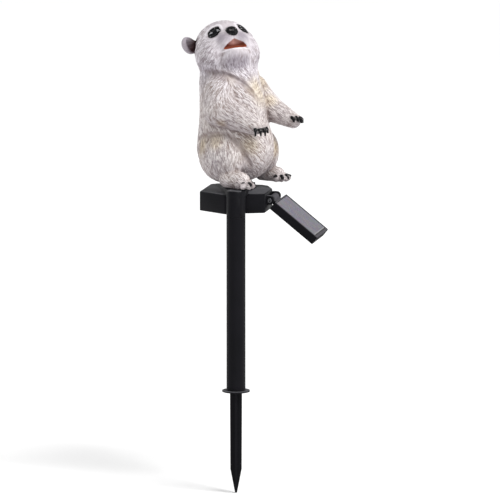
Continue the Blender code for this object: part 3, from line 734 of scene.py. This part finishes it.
def copy_of_node(name, new_name):
    """A copy of a CAD node's mesh with its loose triangles joined up."""
    mesh = NODES[name].data.copy()
    mesh.materials.clear()
    piece = bpy.data.objects.new(new_name, mesh)
    bpy.context.scene.collection.objects.link(piece)
    select_only(piece)
    bpy.ops.object.mode_set(mode="EDIT")
    bpy.ops.mesh.select_all(action="SELECT")
    bpy.ops.mesh.remove_doubles(threshold=0.00001)
    bpy.ops.object.mode_set(mode="OBJECT")
    return piece


def finish_piece(piece, body, slot, material, *replaced):
    piece.data.materials.clear()
    piece.data.materials.append(material)
    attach(piece, body)
    if replaced:
        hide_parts(*replaced)


def finish_node(name, material):
    node = NODES[name]
    if not node.data.materials:
        node.data.materials.append(material)
    for slot in node.material_slots:
        slot.material = material


# Helpers for materials

class Finish:
    """A material under construction: its node tree and shader."""

    def __init__(self, name):
        self.material = bpy.data.materials.new(name)
        self.material.use_nodes = True
        self.tree = self.material.node_tree
        self.shader = self.tree.nodes["Principled BSDF"]

    def put(self, socket, value):
        if isinstance(value, bpy.types.NodeSocket):
            self.tree.links.new(value, socket)
        elif isinstance(value, tuple) and len(value) == 3 and socket.type == "RGBA":
            socket.default_value = (*value, 1.0)
        else:
            socket.default_value = value

    def node(self, kind, settings=None, **inputs):
        made = self.tree.nodes.new(kind)
        for name, value in (settings or {}).items():
            setattr(made, name, value)
        for name, value in inputs.items():
            key = int(name[1:]) if name[0] == "_" else name.replace("_", " ")
            self.put(made.inputs[key], value)
        return made

    def attribute(self, name):
        return self.node("ShaderNodeAttribute", {"attribute_name": name}).outputs["Fac"]

    def place(self):
        return self.node("ShaderNodeTexCoord").outputs["Object"]

    def noise(self, scale, detail=2.0, roughness=0.5, vector=None):
        made = self.node("ShaderNodeTexNoise", Scale=scale, Detail=detail, Roughness=roughness,
                         Vector=vector or self.place())
        return made.outputs["Fac"]

    def math(self, operation, first, second=0.0, third=0.0):
        return self.node("ShaderNodeMath", {"operation": operation}, _0=first, _1=second,
                         _2=third).outputs[0]

    def stretch(self, value, low, high, new_low=0.0, new_high=1.0):
        """Map a value's range to another one, clamped."""
        made = self.node("ShaderNodeMapRange", {"clamp": True}, Value=value)
        for name, number in (("From Min", low), ("From Max", high), ("To Min", new_low),
                             ("To Max", new_high)):
            made.inputs[name].default_value = number
        return made.outputs["Result"]

    def mix(self, share, first, second, blend="MIX"):
        made = self.node("ShaderNodeMix", {"data_type": "RGBA", "blend_type": blend})
        self.put(made.inputs[0], share)
        self.put(made.inputs[6], first)
        self.put(made.inputs[7], second)
        return made.outputs[2]

    def bump(self, height, strength, distance, before=None):
        made = self.node("ShaderNodeBump", Height=height, Strength=strength, Distance=distance)
        if before:
            self.put(made.inputs["Normal"], before)
        return made.outputs["Normal"]

    def shade(self, **inputs):
        for name, value in inputs.items():
            self.put(self.shader.inputs[name.replace("_", " ")], value)
        return self.material


def fine_strokes(finish):
    """Fine hairs in the paint: noise drawn out along the fur's lie, from 0 to 1."""
    lie = finish.node("ShaderNodeAttribute", {"attribute_name": "fur_lie"}).outputs["Vector"]
    place = finish.place()
    total = 0.0
    for index in range(HAIR_TAPS):
        offset = (index / (HAIR_TAPS - 1) - 0.5) * HAIR_LENGTH
        spot = finish.node("ShaderNodeVectorMath", {"operation": "MULTIPLY_ADD"}, _0=lie,
                           _1=(offset, offset, offset), _2=place).outputs[0]
        total = finish.math("ADD", total, finish.noise(1.0 / HAIR_WIDTH, 0.0, 0.5, spot))
    return finish.stretch(total, 0.5 * HAIR_TAPS - 0.7, 0.5 * HAIR_TAPS + 0.7)


def painted_resin(bear):
    """Off-white resin with a grey-violet wash in its grooves and hand-painted details, with painted
    shade, highlights and glints.
    """
    finish = Finish("painted_resin")
    amount = finish.attribute("fur_amount")
    hairs = finish.math("SUBTRACT", fine_strokes(finish), 0.5)
    hairs = finish.math("MULTIPLY", hairs, amount)
    drift = finish.noise(45.0, 3.0, 0.6)
    speckle = finish.noise(900.0, 3.0, 0.7)
    height = finish.node("ShaderNodeSeparateXYZ", Vector=finish.place()).outputs["Z"]
    warmth = finish.stretch(height, BODY_TONE_TOP, HEAD_TONE_FOOT, 1.0, 0.0)
    warm_share = finish.stretch(finish.math("MULTIPLY_ADD", warmth, 0.2, drift), 0.45, 0.75)
    wash = finish.mix(warm_share, tuple(bear.wash_color), tuple(bear.warm_wash_color))
    fur = finish.mix(warmth, tuple(bear.fur_color), tuple(bear.body_fur_color))
    raised = finish.math("MULTIPLY_ADD", finish.attribute("fur_height"), 0.7, 0.15)
    raised = finish.math("MULTIPLY_ADD", hairs, 1.1, raised)
    raised = finish.math("ADD", raised, finish.stretch(speckle, 0.3, 0.7, -0.06, 0.06))
    color = finish.mix(finish.stretch(raised, 0.05, 0.95), wash, fur)
    patchy = finish.stretch(drift, 0.3, 0.6, 0.7, 1.0)
    ochre = finish.math("MULTIPLY", finish.attribute("ochre"), patchy)
    color = finish.mix(ochre, color, tuple(bear.ochre_color), "MULTIPLY")
    # Wash in creases, with painted shade in hollows, where limbs meet the body and on the belly
    # under the near paw
    crease_and_shade = finish.math("MULTIPLY", finish.attribute("crease_and_shade"), 0.75)
    color = finish.mix(crease_and_shade, color, tuple(bear.crease_and_shade_color), "MULTIPLY")
    # Painted shade on undersides, chin, muzzle, ears and the near forearm
    color = finish.mix(finish.attribute("shaded"), color, tuple(bear.shaded_color), "MULTIPLY")
    # Painted highlights on the brow above each eye and along the lower lip
    color = finish.mix(finish.math("MULTIPLY", finish.attribute("painted_highlight"), 0.8), color, BROW_LIP_HIGHLIGHT_COLOR)
    # Painted shade in the ear cups
    color = finish.mix(finish.attribute("ear_cup_shade"), color, EAR_CUP_SHADE_COLOR)
    depth = finish.attribute("mouth_depth")
    gums = finish.mix(finish.stretch(depth, 0.0, 0.36), *LIP_COLORS)
    gums = finish.mix(finish.stretch(depth, 0.5, 1.0), gums, THROAT_COLOR)
    fray = finish.math("MULTIPLY", finish.math("SUBTRACT", speckle, 0.5), 0.5)
    to_mouth = finish.math("ADD", finish.attribute("to_mouth"), fray)
    color = finish.mix(finish.stretch(to_mouth, 0.0, 0.22, 1.0, 0.0), color, gums)
    to_black = finish.math("ADD", finish.attribute("to_black"), fray)
    color = finish.mix(finish.stretch(to_black, 0.1, 1.5, 0.4, 0.0), color, GREY_EDGE_COLOR)
    black = finish.stretch(to_black, 0.08, 0.3, 1.0, 0.0)
    # Painted glints: small pale patches on the black nose, lids and claws
    painted_glints = finish.stretch(finish.noise(520.0, 1.0), 0.6, 0.68)
    color = finish.mix(black, color, finish.mix(painted_glints, *BLACK_AND_GLINT_COLORS))
    roughness = finish.stretch(black, 0.0, 1.0, 0.62, 0.3)
    surface = finish.bump(hairs, 0.8, 0.3 * MM)
    surface = finish.bump(speckle, 0.2, 0.1 * MM, surface)
    return finish.shade(Base_Color=color, Roughness=roughness, Normal=surface,
                        Specular_IOR_Level=0.13)


def eye_lens():
    """Black glass with a faint moulded ripple, and painted glints as bright specks in its colour."""
    finish = Finish("eye_lens")
    ripple = finish.noise(420.0, 2.0)
    # Painted glints: bright specks in the lens's colour
    lens_glints = finish.stretch(finish.noise(400.0, 0.0), 0.7, 0.76)
    color = finish.mix(lens_glints, *LENS_AND_GLINT_COLORS)
    surface = finish.bump(ripple, 0.3, 0.5 * MM)
    return finish.shade(Base_Color=color, Roughness=finish.stretch(ripple, 0.3, 0.7, 0.04, 0.12),
                        Normal=surface, Specular_IOR_Level=0.25)


def plastic_grain(finish, colors):
    """Faint cloudy wear, fine spark-eroded pits, and the colour that the wear gives."""
    cloud = finish.noise(35.0, 3.0)
    pits = finish.noise(2600.0, 2.0, 0.7)
    return cloud, pits, finish.mix(finish.stretch(cloud, 0.35, 0.7), *colors)


def moulded_plastic(name, colors, roughness, specular):
    """Black moulded plastic with a painted sheen on the faces that look up."""
    finish = Finish(name)
    cloud, pits, tone = plastic_grain(finish, colors)
    normal = finish.node("ShaderNodeNewGeometry").outputs["Normal"]
    facing = finish.node("ShaderNodeSeparateXYZ", Vector=normal)
    # Painted sheen: faces that look up are paler
    dust_and_sheen = finish.stretch(facing.outputs["Z"], 0.85, 1.0, 0.0, 0.8)
    gloss = finish.math("ADD", finish.stretch(cloud, 0.3, 0.7, roughness - 0.05, roughness + 0.07),
                        finish.stretch(pits, 0.3, 0.7, -0.03, 0.03))
    return finish.shade(Base_Color=finish.mix(dust_and_sheen, tone, TOP_SHEEN_COLOR), Roughness=gloss,
                        Normal=finish.bump(pits, 0.35, 0.08 * MM), Specular_IOR_Level=specular)


def screw_steel():
    """Dull steel with fine turning marks."""
    finish = Finish("screw_steel")
    marks = finish.noise(1500.0, 2.0)
    return finish.shade(Base_Color=finish.mix(finish.stretch(marks, 0.3, 0.7), *STEEL_COLORS),
                        Metallic=0.9, Normal=finish.bump(marks, 0.2, 0.05 * MM),
                        Roughness=finish.stretch(marks, 0.3, 0.7, 0.3, 0.45))


def panel_place(finish):
    """Coordinates on the panel: x down its slope and y across it."""
    turn = Euler((0.0, -PANEL_SLOPE, 0.0))
    offset = -(turn.to_matrix() @ HINGE)
    mapping = finish.node("ShaderNodeMapping", {"vector_type": "POINT"}, Vector=finish.place())
    mapping.inputs["Rotation"].default_value = turn
    mapping.inputs["Location"].default_value = offset
    return mapping.outputs["Vector"]


def panel_plastic():
    """The housing's plastic, with a painted sheen on the panel's thin top rim, but not on its far
    side.
    """
    finish = Finish("panel_plastic")
    spot = finish.node("ShaderNodeSeparateXYZ", Vector=panel_place(finish))
    pits, tone = plastic_grain(finish, HOUSING_COLORS)[1:]
    # Painted sheen on the top rim, except along its far side
    top = finish.stretch(spot.outputs["Z"], 1.5 * MM, 1.9 * MM)
    near = finish.stretch(spot.outputs["Y"], CELL_FAR - MM, CELL_FAR, 1.0, 0.1)
    tone = finish.mix(finish.math("MULTIPLY", top, near), tone, RIM_SHEEN_COLOR)
    return finish.shade(Base_Color=tone, Roughness=finish.stretch(pits, 0.3, 0.7, 0.7, 0.8),
                        Normal=finish.bump(pits, 0.35, 0.08 * MM), Specular_IOR_Level=0.06)


def cell_glass():
    """A dark cell under clear glass, with fine fingers across it and crystal mottling."""
    finish = Finish("cell_glass")
    spot = panel_place(finish)
    parts = finish.node("ShaderNodeSeparateXYZ", Vector=spot)
    down, across = parts.outputs["X"], parts.outputs["Y"]
    part = finish.math("FRACT", finish.math("DIVIDE", down, FINGER_PITCH))
    finger = finish.stretch(finish.math("ABSOLUTE", finish.math("SUBTRACT", part, 0.5)), 0.42, 0.47)
    crystals = finish.node("ShaderNodeTexVoronoi", Scale=260.0, Vector=spot).outputs["Color"]
    tone = finish.mix(0.25, CELL_COLOR, crystals, "MULTIPLY")
    tone = finish.mix(finish.math("MULTIPLY", finger, 0.35), tone, FINGER_COLOR)
    near_border = finish.stretch(across, CELL_NEAR + 0.5 * MM, CELL_NEAR + 0.9 * MM, 1.0, 0.0)
    end_border = finish.stretch(down, CELL_END - 1.9 * MM, CELL_END - 1.6 * MM)
    border = finish.math("MAXIMUM", end_border, near_border)
    tone = finish.mix(border, tone, BORDER_COLOR)
    shadow = finish.math("MAXIMUM", finish.stretch(down, CELL_END - 1.0 * MM, CELL_END - 0.8 * MM),
                         finish.stretch(across, CELL_FAR - 1.0 * MM, CELL_FAR - 0.8 * MM))
    tone = finish.mix(shadow, tone, SHADOW_COLOR)
    dust_and_sheen = finish.noise(1400.0, 3.0, 0.7)
    return finish.shade(Base_Color=tone, Roughness=finish.stretch(dust_and_sheen, 0.3, 0.7, 0.16, 0.3),
                        Normal=finish.bump(dust_and_sheen, 0.12, 0.08 * MM))


# Settings

class BearSettings(bpy.types.PropertyGroup):
    rough_voxel: bpy.props.FloatProperty(
        name="First voxel", description="Voxel size of the first remesh of the bear",
        default=1.5 * MM, min=0.5 * MM, subtype="DISTANCE", unit="LENGTH")
    fine_voxel: bpy.props.FloatProperty(
        name="Fine voxel", description="Voxel size of the carved bear",
        default=0.705 * MM, min=0.4 * MM, subtype="DISTANCE", unit="LENGTH")
    fur_depth: bpy.props.FloatProperty(
        name="Fur depth", description="How deep the strokes of the fur are cut",
        default=0.55 * MM, min=0.0, subtype="DISTANCE", unit="LENGTH")
    stroke_width: bpy.props.FloatProperty(
        name="Stroke width", description="Width of one stroke of the fur",
        default=0.8 * MM, min=0.4 * MM, subtype="DISTANCE", unit="LENGTH")
    stroke_length: bpy.props.FloatProperty(
        name="Stroke length", description="Length of one stroke of the fur",
        default=4.0 * MM, min=1.0 * MM, subtype="DISTANCE", unit="LENGTH")
    fur_color: bpy.props.FloatVectorProperty(
        name="Fur", description="Colour of the raised fur on the head",
        subtype="COLOR", size=3, min=0.0, max=1.0, default=(0.775, 0.735, 0.775))
    body_fur_color: bpy.props.FloatVectorProperty(
        name="Body fur", description="Colour of the raised fur below the neck",
        subtype="COLOR", size=3, min=0.0, max=1.0, default=(0.77, 0.72, 0.71))
    wash_color: bpy.props.FloatVectorProperty(
        name="Cool wash", description="Cool colour of the wash in the grooves",
        subtype="COLOR", size=3, min=0.0, max=1.0, default=(0.31, 0.265, 0.285))
    warm_wash_color: bpy.props.FloatVectorProperty(
        name="Warm wash", description="Warm colour of the wash in the grooves",
        subtype="COLOR", size=3, min=0.0, max=1.0, default=(0.325, 0.262, 0.24))
    ochre_color: bpy.props.FloatVectorProperty(
        name="Ochre tint", description="Tint brushed over parts of the fur",
        subtype="COLOR", size=3, min=0.0, max=1.5, default=(1.1, 1.02, 0.76))
    # The wash in creases, and painted shade in hollows, at seams and under the near paw
    crease_and_shade_color: bpy.props.FloatVectorProperty(
        name="Crease", description="Tint of the wash that gathers in creases",
        subtype="COLOR", size=3, min=0.0, max=1.0, default=(0.5, 0.44, 0.42))
    # Painted shade on undersides, ears, chin, muzzle and forearm
    shaded_color: bpy.props.FloatVectorProperty(
        name="Shade", description="Tint of the wash on undersides, ears, chin, muzzle and forearm",
        subtype="COLOR", size=3, min=0.0, max=1.0, default=(0.6, 0.58, 0.62))


class StageSettings(bpy.types.PropertyGroup):
    azimuth: bpy.props.FloatProperty(
        name="Azimuth", description="Where the camera stands around the statue",
        default=radians(12.0), subtype="ANGLE", unit="ROTATION")
    elevation: bpy.props.FloatProperty(
        name="Elevation", description="How far the camera looks down",
        default=radians(9.0), subtype="ANGLE", unit="ROTATION")
    distance: bpy.props.FloatProperty(
        name="Distance", description="From the camera to the statue",
        default=5.0, min=1.0, subtype="DISTANCE", unit="LENGTH")
    floor_color: bpy.props.FloatVectorProperty(
        name="Floor", description="Colour of the floor", subtype="COLOR", size=3,
        min=0.0, max=1.0, default=(0.97, 0.97, 0.97))


# Operators

class STATUE_OT_carve_bear(bpy.types.Operator):
    """Carve the bear with its fur, and mark where its paint differs"""
    bl_idname = "statue.carve_bear"
    bl_label = "Carve bear"

    def execute(self, context):
        bear = context.scene.statue_bear
        piece = copy_of_node("bear_figure", "bear_carving")
        piece.data.transform(BEAR_PLACE.inverted())
        self.seed_claws(piece.data)
        folds = fold_lines()
        fine = bear.fine_voxel * 1.0
        for voxel, rounds in ((bear.rough_voxel, 4), (fine, 3)):
            apply_modifier(piece, "REMESH", mode="VOXEL", voxel_size=voxel / BEAR_UNIT)
            self.settle_mesh(piece.data, folds, rounds)
            ease_folds(piece.data, folds)
        self.settle_mesh(piece.data, folds, 2)
        self.cut_fur(piece.data, bear, folds)
        piece.data.transform(BEAR_PLACE)
        low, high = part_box("bear_figure")
        write_points(piece.data, np.clip(read_points(piece.data), low, high))
        piece.data.shade_smooth()
        finish_piece(piece, "root", "painted_resin", painted_resin(bear), "bear_figure")
        return {"FINISHED"}

    def settle_mesh(self, mesh, folds, rounds):
        def skin(points):
            return bear_form(points, folds)
        write_points(mesh, settle(read_points(mesh), rounds, skin))

    def seed_claws(self, mesh):
        """Balls along each claw, so that the first remesh reaches its tip."""
        shape = bmesh.new()
        shape.from_mesh(mesh)
        for arm in (RIGHT_ARM, LEFT_ARM):
            for root, bend, tip in claw_paths(arm):
                for centre in (root, 0.5 * (root + bend), bend, 0.5 * (bend + tip), tip):
                    bmesh.ops.create_icosphere(shape, subdivisions=2,
                                               radius=0.9 * CLAW_RADIUS[arm],
                                               matrix=Matrix.Translation(centre))
        shape.to_mesh(mesh)
        shape.free()

    def cut_fur(self, mesh, bear, folds):
        """Cut strokes inwards along the fur's lie, and record the paint."""
        table = np.random.default_rng(7).random((GRAIN_SIZE, GRAIN_SIZE, GRAIN_SIZE)) - 0.5
        points = read_points(mesh)
        normals = read_normals(mesh)
        flow = lay_on_skin(fur_flow(points), normals)
        width = bear.stroke_width / BEAR_UNIT
        length = bear.stroke_length / BEAR_UNIT
        wider, longer, wide_strength = WIDE_LAYER
        wide = strokes(points, flow, wider * width, longer * length, table)
        wider, longer, narrow_strength = NARROW_LAYER
        narrow = strokes(points + LAYER_SHIFT, flow, wider * width, longer * length, table)
        fur = np.clip(0.5 + wide_strength * wide + narrow_strength * narrow, 0.0, 1.0)
        into_fold = np.minimum.reduce([fold_form(points, *fold[:2]) for fold in folds])
        amount = fur_share(points) * (0.3 + 0.7 * fade(into_fold, 0.2, 2.6))
        cut = (1.0 - fur) * amount
        write_points(mesh, points - normals * (cut * bear.fur_depth / BEAR_UNIT)[:, None])
        height = CUT_LEVEL + (fur - CUT_LEVEL) * (0.25 + 0.75 * amount)
        write_attribute(mesh, "fur_height", height)
        write_attribute(mesh, "fur_amount", amount)
        lie = flow @ np.array(BEAR_PLACE.to_3x3().normalized()).T
        attribute = mesh.attributes.new("fur_lie", "FLOAT_VECTOR", "POINT")
        attribute.data.foreach_set("vector", lie.astype(np.float32).ravel())
        self.record_creases(mesh, points, normals, fur, into_fold)
        self.record_shade(mesh, points, normals)
        self.record_paint(mesh, points)

    def record_creases(self, mesh, points, normals, fur, into_fold):
        """The wash that gathers in hollows, folds and at the corners of the mouth, with painted
        shade in the hollows, where limbs meet the body and on the belly under the near paw.
        """
        crease_and_shade = 0.8 * fade(cavities(mesh, points, normals, 90), 0.1, 0.9)
        crease_and_shade = np.maximum(crease_and_shade, (1.0 - fade(into_fold, 0.0, 2.4)) * (1.1 - 0.5 * fur))
        # Painted shade where limbs meet the body
        crease_and_shade = np.maximum(crease_and_shade, seams(points) * (1.15 - 0.7 * fur))
        # Painted shadow of the near paw on the belly
        belly = 1.0 - fade(distances(points, BELLY_SHADE_AT), 1.0, BELLY_SHADE_RADIUS)
        crease_and_shade = np.maximum(crease_and_shade, belly * (1.0 - 0.8 * fur))
        sides = both_sides(head_points(points))
        smile = limb(sides * (0.0, 1.0, 1.0), *SMILE_LINE, 0.2, 0.1)
        smile = (1.0 - fade(smile, 0.0, 1.3)) * fade(sides[:, 0], 4.0, 8.0)
        write_attribute(mesh, "crease_and_shade", np.maximum(crease_and_shade, smile))

    def record_shade(self, mesh, points, normals):
        """Painted shade on undersides, chin, muzzle, ears and the near forearm."""
        sides = both_sides(head_points(points))
        shaded = 0.72 * fade(-normals[:, 2], -0.25, 0.7)
        for centre, radii in ((CHIN_AT, CHIN_RADII), (MUZZLE_AT, MUZZLE_RADII),
                              (EAR_AT, EAR_SHADE_RADII)):
            near = 1.0 - fade(distances(sides, centre, radii), 0.6, 1.35)
            shaded = np.maximum(shaded, 0.95 * near)
        forearm = 1.0 - fade(distances(points, FOREARM_SHADE_AT), 3.0, FOREARM_SHADE_RADIUS)
        write_attribute(mesh, "shaded", np.maximum(shaded, 0.45 * forearm))

    def record_paint(self, mesh, points):
        """Distances to the black parts and the mouth, the painted highlights on brow and lip, the
        painted shade in the ear cups, and the ochre places.
        """
        local = head_points(points)
        sides = both_sides(local)
        black = np.minimum.reduce([
            nose_form(local), eye_rim_form(sides),
            claw_tips_form(points, RIGHT_ARM), claw_tips_form(points, LEFT_ARM),
            toe_claws_form(points, RIGHT_FOOT), toe_claws_form(points, LEFT_FOOT)])
        write_attribute(mesh, "to_black", np.minimum(black, PAINT_REACH))
        write_attribute(mesh, "to_mouth", np.minimum(mouth_form(sides), PAINT_REACH))
        write_attribute(mesh, "mouth_depth", fade(-local[:, 2], 4.0, 8.6))
        # Painted highlights: a band on the brow above the lids, and one along the lower lip
        brow = 1.0 - fade(np.abs(eye_rim_form(sides) - 1.1), 0.3, 1.3)
        lip = 1.0 - fade(np.abs(mouth_form(sides) - 0.9), 0.2, 1.2)
        painted_highlight = np.maximum(brow * fade(sides[:, 2], 3.5, 6.5), lip * fade(-sides[:, 2], 8.2, 9.4))
        write_attribute(mesh, "painted_highlight", painted_highlight)
        # Painted shade inside the front of each ear cup
        in_ear = 1.0 - fade(distances(sides, EAR_SHADE_AT, EAR_SHADE_RADII), 0.62, 1.05)
        write_attribute(mesh, "ear_cup_shade", in_ear * fade(sides[:, 0], -9.5, -7.5))
        ochre = np.zeros(len(points))
        for centre, radius, strength in OCHRE_TINTS:
            near = 1.0 - fade(distances(points, centre), 0.1 * radius, radius)
            ochre = np.maximum(ochre, strength * near)
        write_attribute(mesh, "ochre", ochre)


class STATUE_OT_finish_eyes(bpy.types.Operator):
    """Give both eye lenses their black glass"""
    bl_idname = "statue.finish_eyes"
    bl_label = "Finish eyes"

    def execute(self, context):
        lens = eye_lens()
        finish_node("eye_left", lens)
        finish_node("eye_right", lens)
        return {"FINISHED"}


class STATUE_OT_finish_plastics(bpy.types.Operator):
    """Give the housing its crisp edges, and all the moulded parts their plastic"""
    bl_idname = "statue.finish_plastics"
    bl_label = "Finish plastics"

    def execute(self, context):
        housing = moulded_plastic("black_plastic", HOUSING_COLORS, 0.45, 0.06)
        stake = moulded_plastic("stake_plastic", STAKE_COLORS, 0.5, 0.07)
        finish_node("housing_cover", housing)
        finish_node("panel_case", panel_plastic())
        shell = copy_of_node("lamp_housing", "housing_shell")
        bpy.ops.object.shade_smooth_by_angle(angle=radians(24.0))
        finish_piece(shell, "root", "black_plastic", housing, "lamp_housing")
        for name in ("stake_tube", "ground_spike"):
            finish_node(name, stake)
        return {"FINISHED"}


class STATUE_OT_finish_cell(bpy.types.Operator):
    """Give the solar cell its glass"""
    bl_idname = "statue.finish_cell"
    bl_label = "Finish solar cell"

    def execute(self, context):
        finish_node("solar_cell", cell_glass())
        return {"FINISHED"}


class STATUE_OT_finish_screw(bpy.types.Operator):
    """Cut the cross recess in the hinge screw and give it its steel"""
    bl_idname = "statue.finish_screw"
    bl_label = "Finish hinge screw"

    def execute(self, context):
        screw = copy_of_node("hinge_screw", "cross_head_screw")
        face = Vector((HINGE.x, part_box("hinge_screw")[0][1], HINGE.z))
        for turn in (SCREW_TURN, SCREW_TURN + 0.5 * pi):
            select_only()
            bpy.ops.mesh.primitive_cube_add(size=1.0, location=face, rotation=(0.0, turn, 0.0),
                                            scale=SLOT_SIZE)
            slot = context.object
            apply_modifier(screw, "BOOLEAN", operation="DIFFERENCE", solver="EXACT", object=slot)
            bpy.data.objects.remove(slot)
        bpy.ops.object.shade_smooth_by_angle(angle=radians(30.0))
        finish_piece(screw, "root", "screw_steel", screw_steel(), "hinge_screw")
        return {"FINISHED"}


class STATUE_OT_set_stage(bpy.types.Operator):
    """Lay the floor, light the statue and stand the camera at the photograph's angle"""
    bl_idname = "statue.set_stage"
    bl_label = "Set stage"

    def execute(self, context):
        stage = context.scene.statue_stage
        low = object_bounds()[0]
        select_only()
        bpy.ops.mesh.primitive_circle_add(vertices=96, radius=FLOOR_RADIUS, fill_type="NGON",
                                          location=(0.0, 0.0, low[2] - 0.5 * MM))
        floor = context.object
        floor.name = "floor"
        finish = Finish("floor_paper")
        tone = finish.stretch(finish.noise(3.0), 0.3, 0.7, 0.98, 1.0)
        color = finish.mix(1.0, tuple(stage.floor_color), tone, "MULTIPLY")
        floor.data.materials.append(finish.shade(Base_Color=color, Roughness=0.95,
                                                 Specular_IOR_Level=0.0))
        floor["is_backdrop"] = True
        for name, place, size, power in SOFT_LIGHTS:
            self.add_light(name, place, size, power)
        sun = bpy.data.lights.new("key_light", "SUN")
        sun.energy = KEY_POWER
        sun.angle = KEY_SPREAD
        key = bpy.data.objects.new("key_light", sun)
        key.rotation_euler = KEY_FROM.to_track_quat("Z", "Y").to_euler()
        context.scene.collection.objects.link(key)
        world = bpy.data.worlds.new("studio")
        world.use_nodes = True
        background = world.node_tree.nodes["Background"]
        background.inputs["Color"].default_value = WHITE
        background.inputs["Strength"].default_value = SURROUND_STRENGTH
        context.scene.world = world
        context.scene.view_settings.view_transform = "Standard"
        self.add_camera(context, stage)
        return {"FINISHED"}

    def add_light(self, name, place, size, power):
        light = bpy.data.lights.new(name, "AREA")
        light.size = size
        light.energy = power
        lamp = bpy.data.objects.new(name, light)
        lamp.location = place
        lamp.rotation_euler = (Vector(place) - LIGHTS_AIM).to_track_quat("Z", "Y").to_euler()
        bpy.context.scene.collection.objects.link(lamp)

    def add_camera(self, context, stage):
        around, up = stage.azimuth, stage.elevation
        back = Vector((sin(around) * cos(up), -cos(around) * cos(up), sin(up)))
        right = Vector((cos(around), sin(around), 0.0))
        rise = back.cross(right)
        target = right * AIM_RIGHT + rise * AIM_UP
        data = bpy.data.cameras.new("camera")
        data.sensor_width = SENSOR_WIDTH
        data.lens = SENSOR_WIDTH * stage.distance / VIEW_WIDTH
        data.clip_end = 100.0
        camera = bpy.data.objects.new("camera", data)
        camera.location = target + back * stage.distance
        camera.rotation_euler = back.to_track_quat("Z", "Y").to_euler()
        context.scene.collection.objects.link(camera)
        context.scene.camera = camera


OPERATORS = (STATUE_OT_carve_bear, STATUE_OT_finish_eyes, STATUE_OT_finish_plastics,
             STATUE_OT_finish_cell, STATUE_OT_finish_screw, STATUE_OT_set_stage)


class STATUE_PT_panel(bpy.types.Panel):
    """Sizes, colours and steps of the statue"""
    bl_idname = "STATUE_PT_panel"
    bl_label = "Bear statue"
    bl_space_type = "VIEW_3D"
    bl_region_type = "UI"
    bl_category = "Bear statue"

    def draw(self, context):
        for settings in (context.scene.statue_bear, context.scene.statue_stage):
            box = self.layout.box()
            for name in settings.__annotations__:
                box.prop(settings, name)
        for step in OPERATORS:
            self.layout.operator(step.bl_idname)


CLASSES = (BearSettings, StageSettings, *OPERATORS, STATUE_PT_panel)


def register():
    for item in CLASSES:
        bpy.utils.register_class(item)
    bpy.types.Scene.statue_bear = bpy.props.PointerProperty(type=BearSettings)
    bpy.types.Scene.statue_stage = bpy.props.PointerProperty(type=StageSettings)


def unregister():
    del bpy.types.Scene.statue_stage
    del bpy.types.Scene.statue_bear
    for item in reversed(CLASSES):
        bpy.utils.unregister_class(item)


def main():
    register()
    bpy.ops.statue.carve_bear()
    bpy.ops.statue.finish_eyes()
    bpy.ops.statue.finish_plastics()
    bpy.ops.statue.finish_cell()
    bpy.ops.statue.finish_screw()
    bpy.ops.statue.set_stage()


if __name__ == "__main__":
    main()
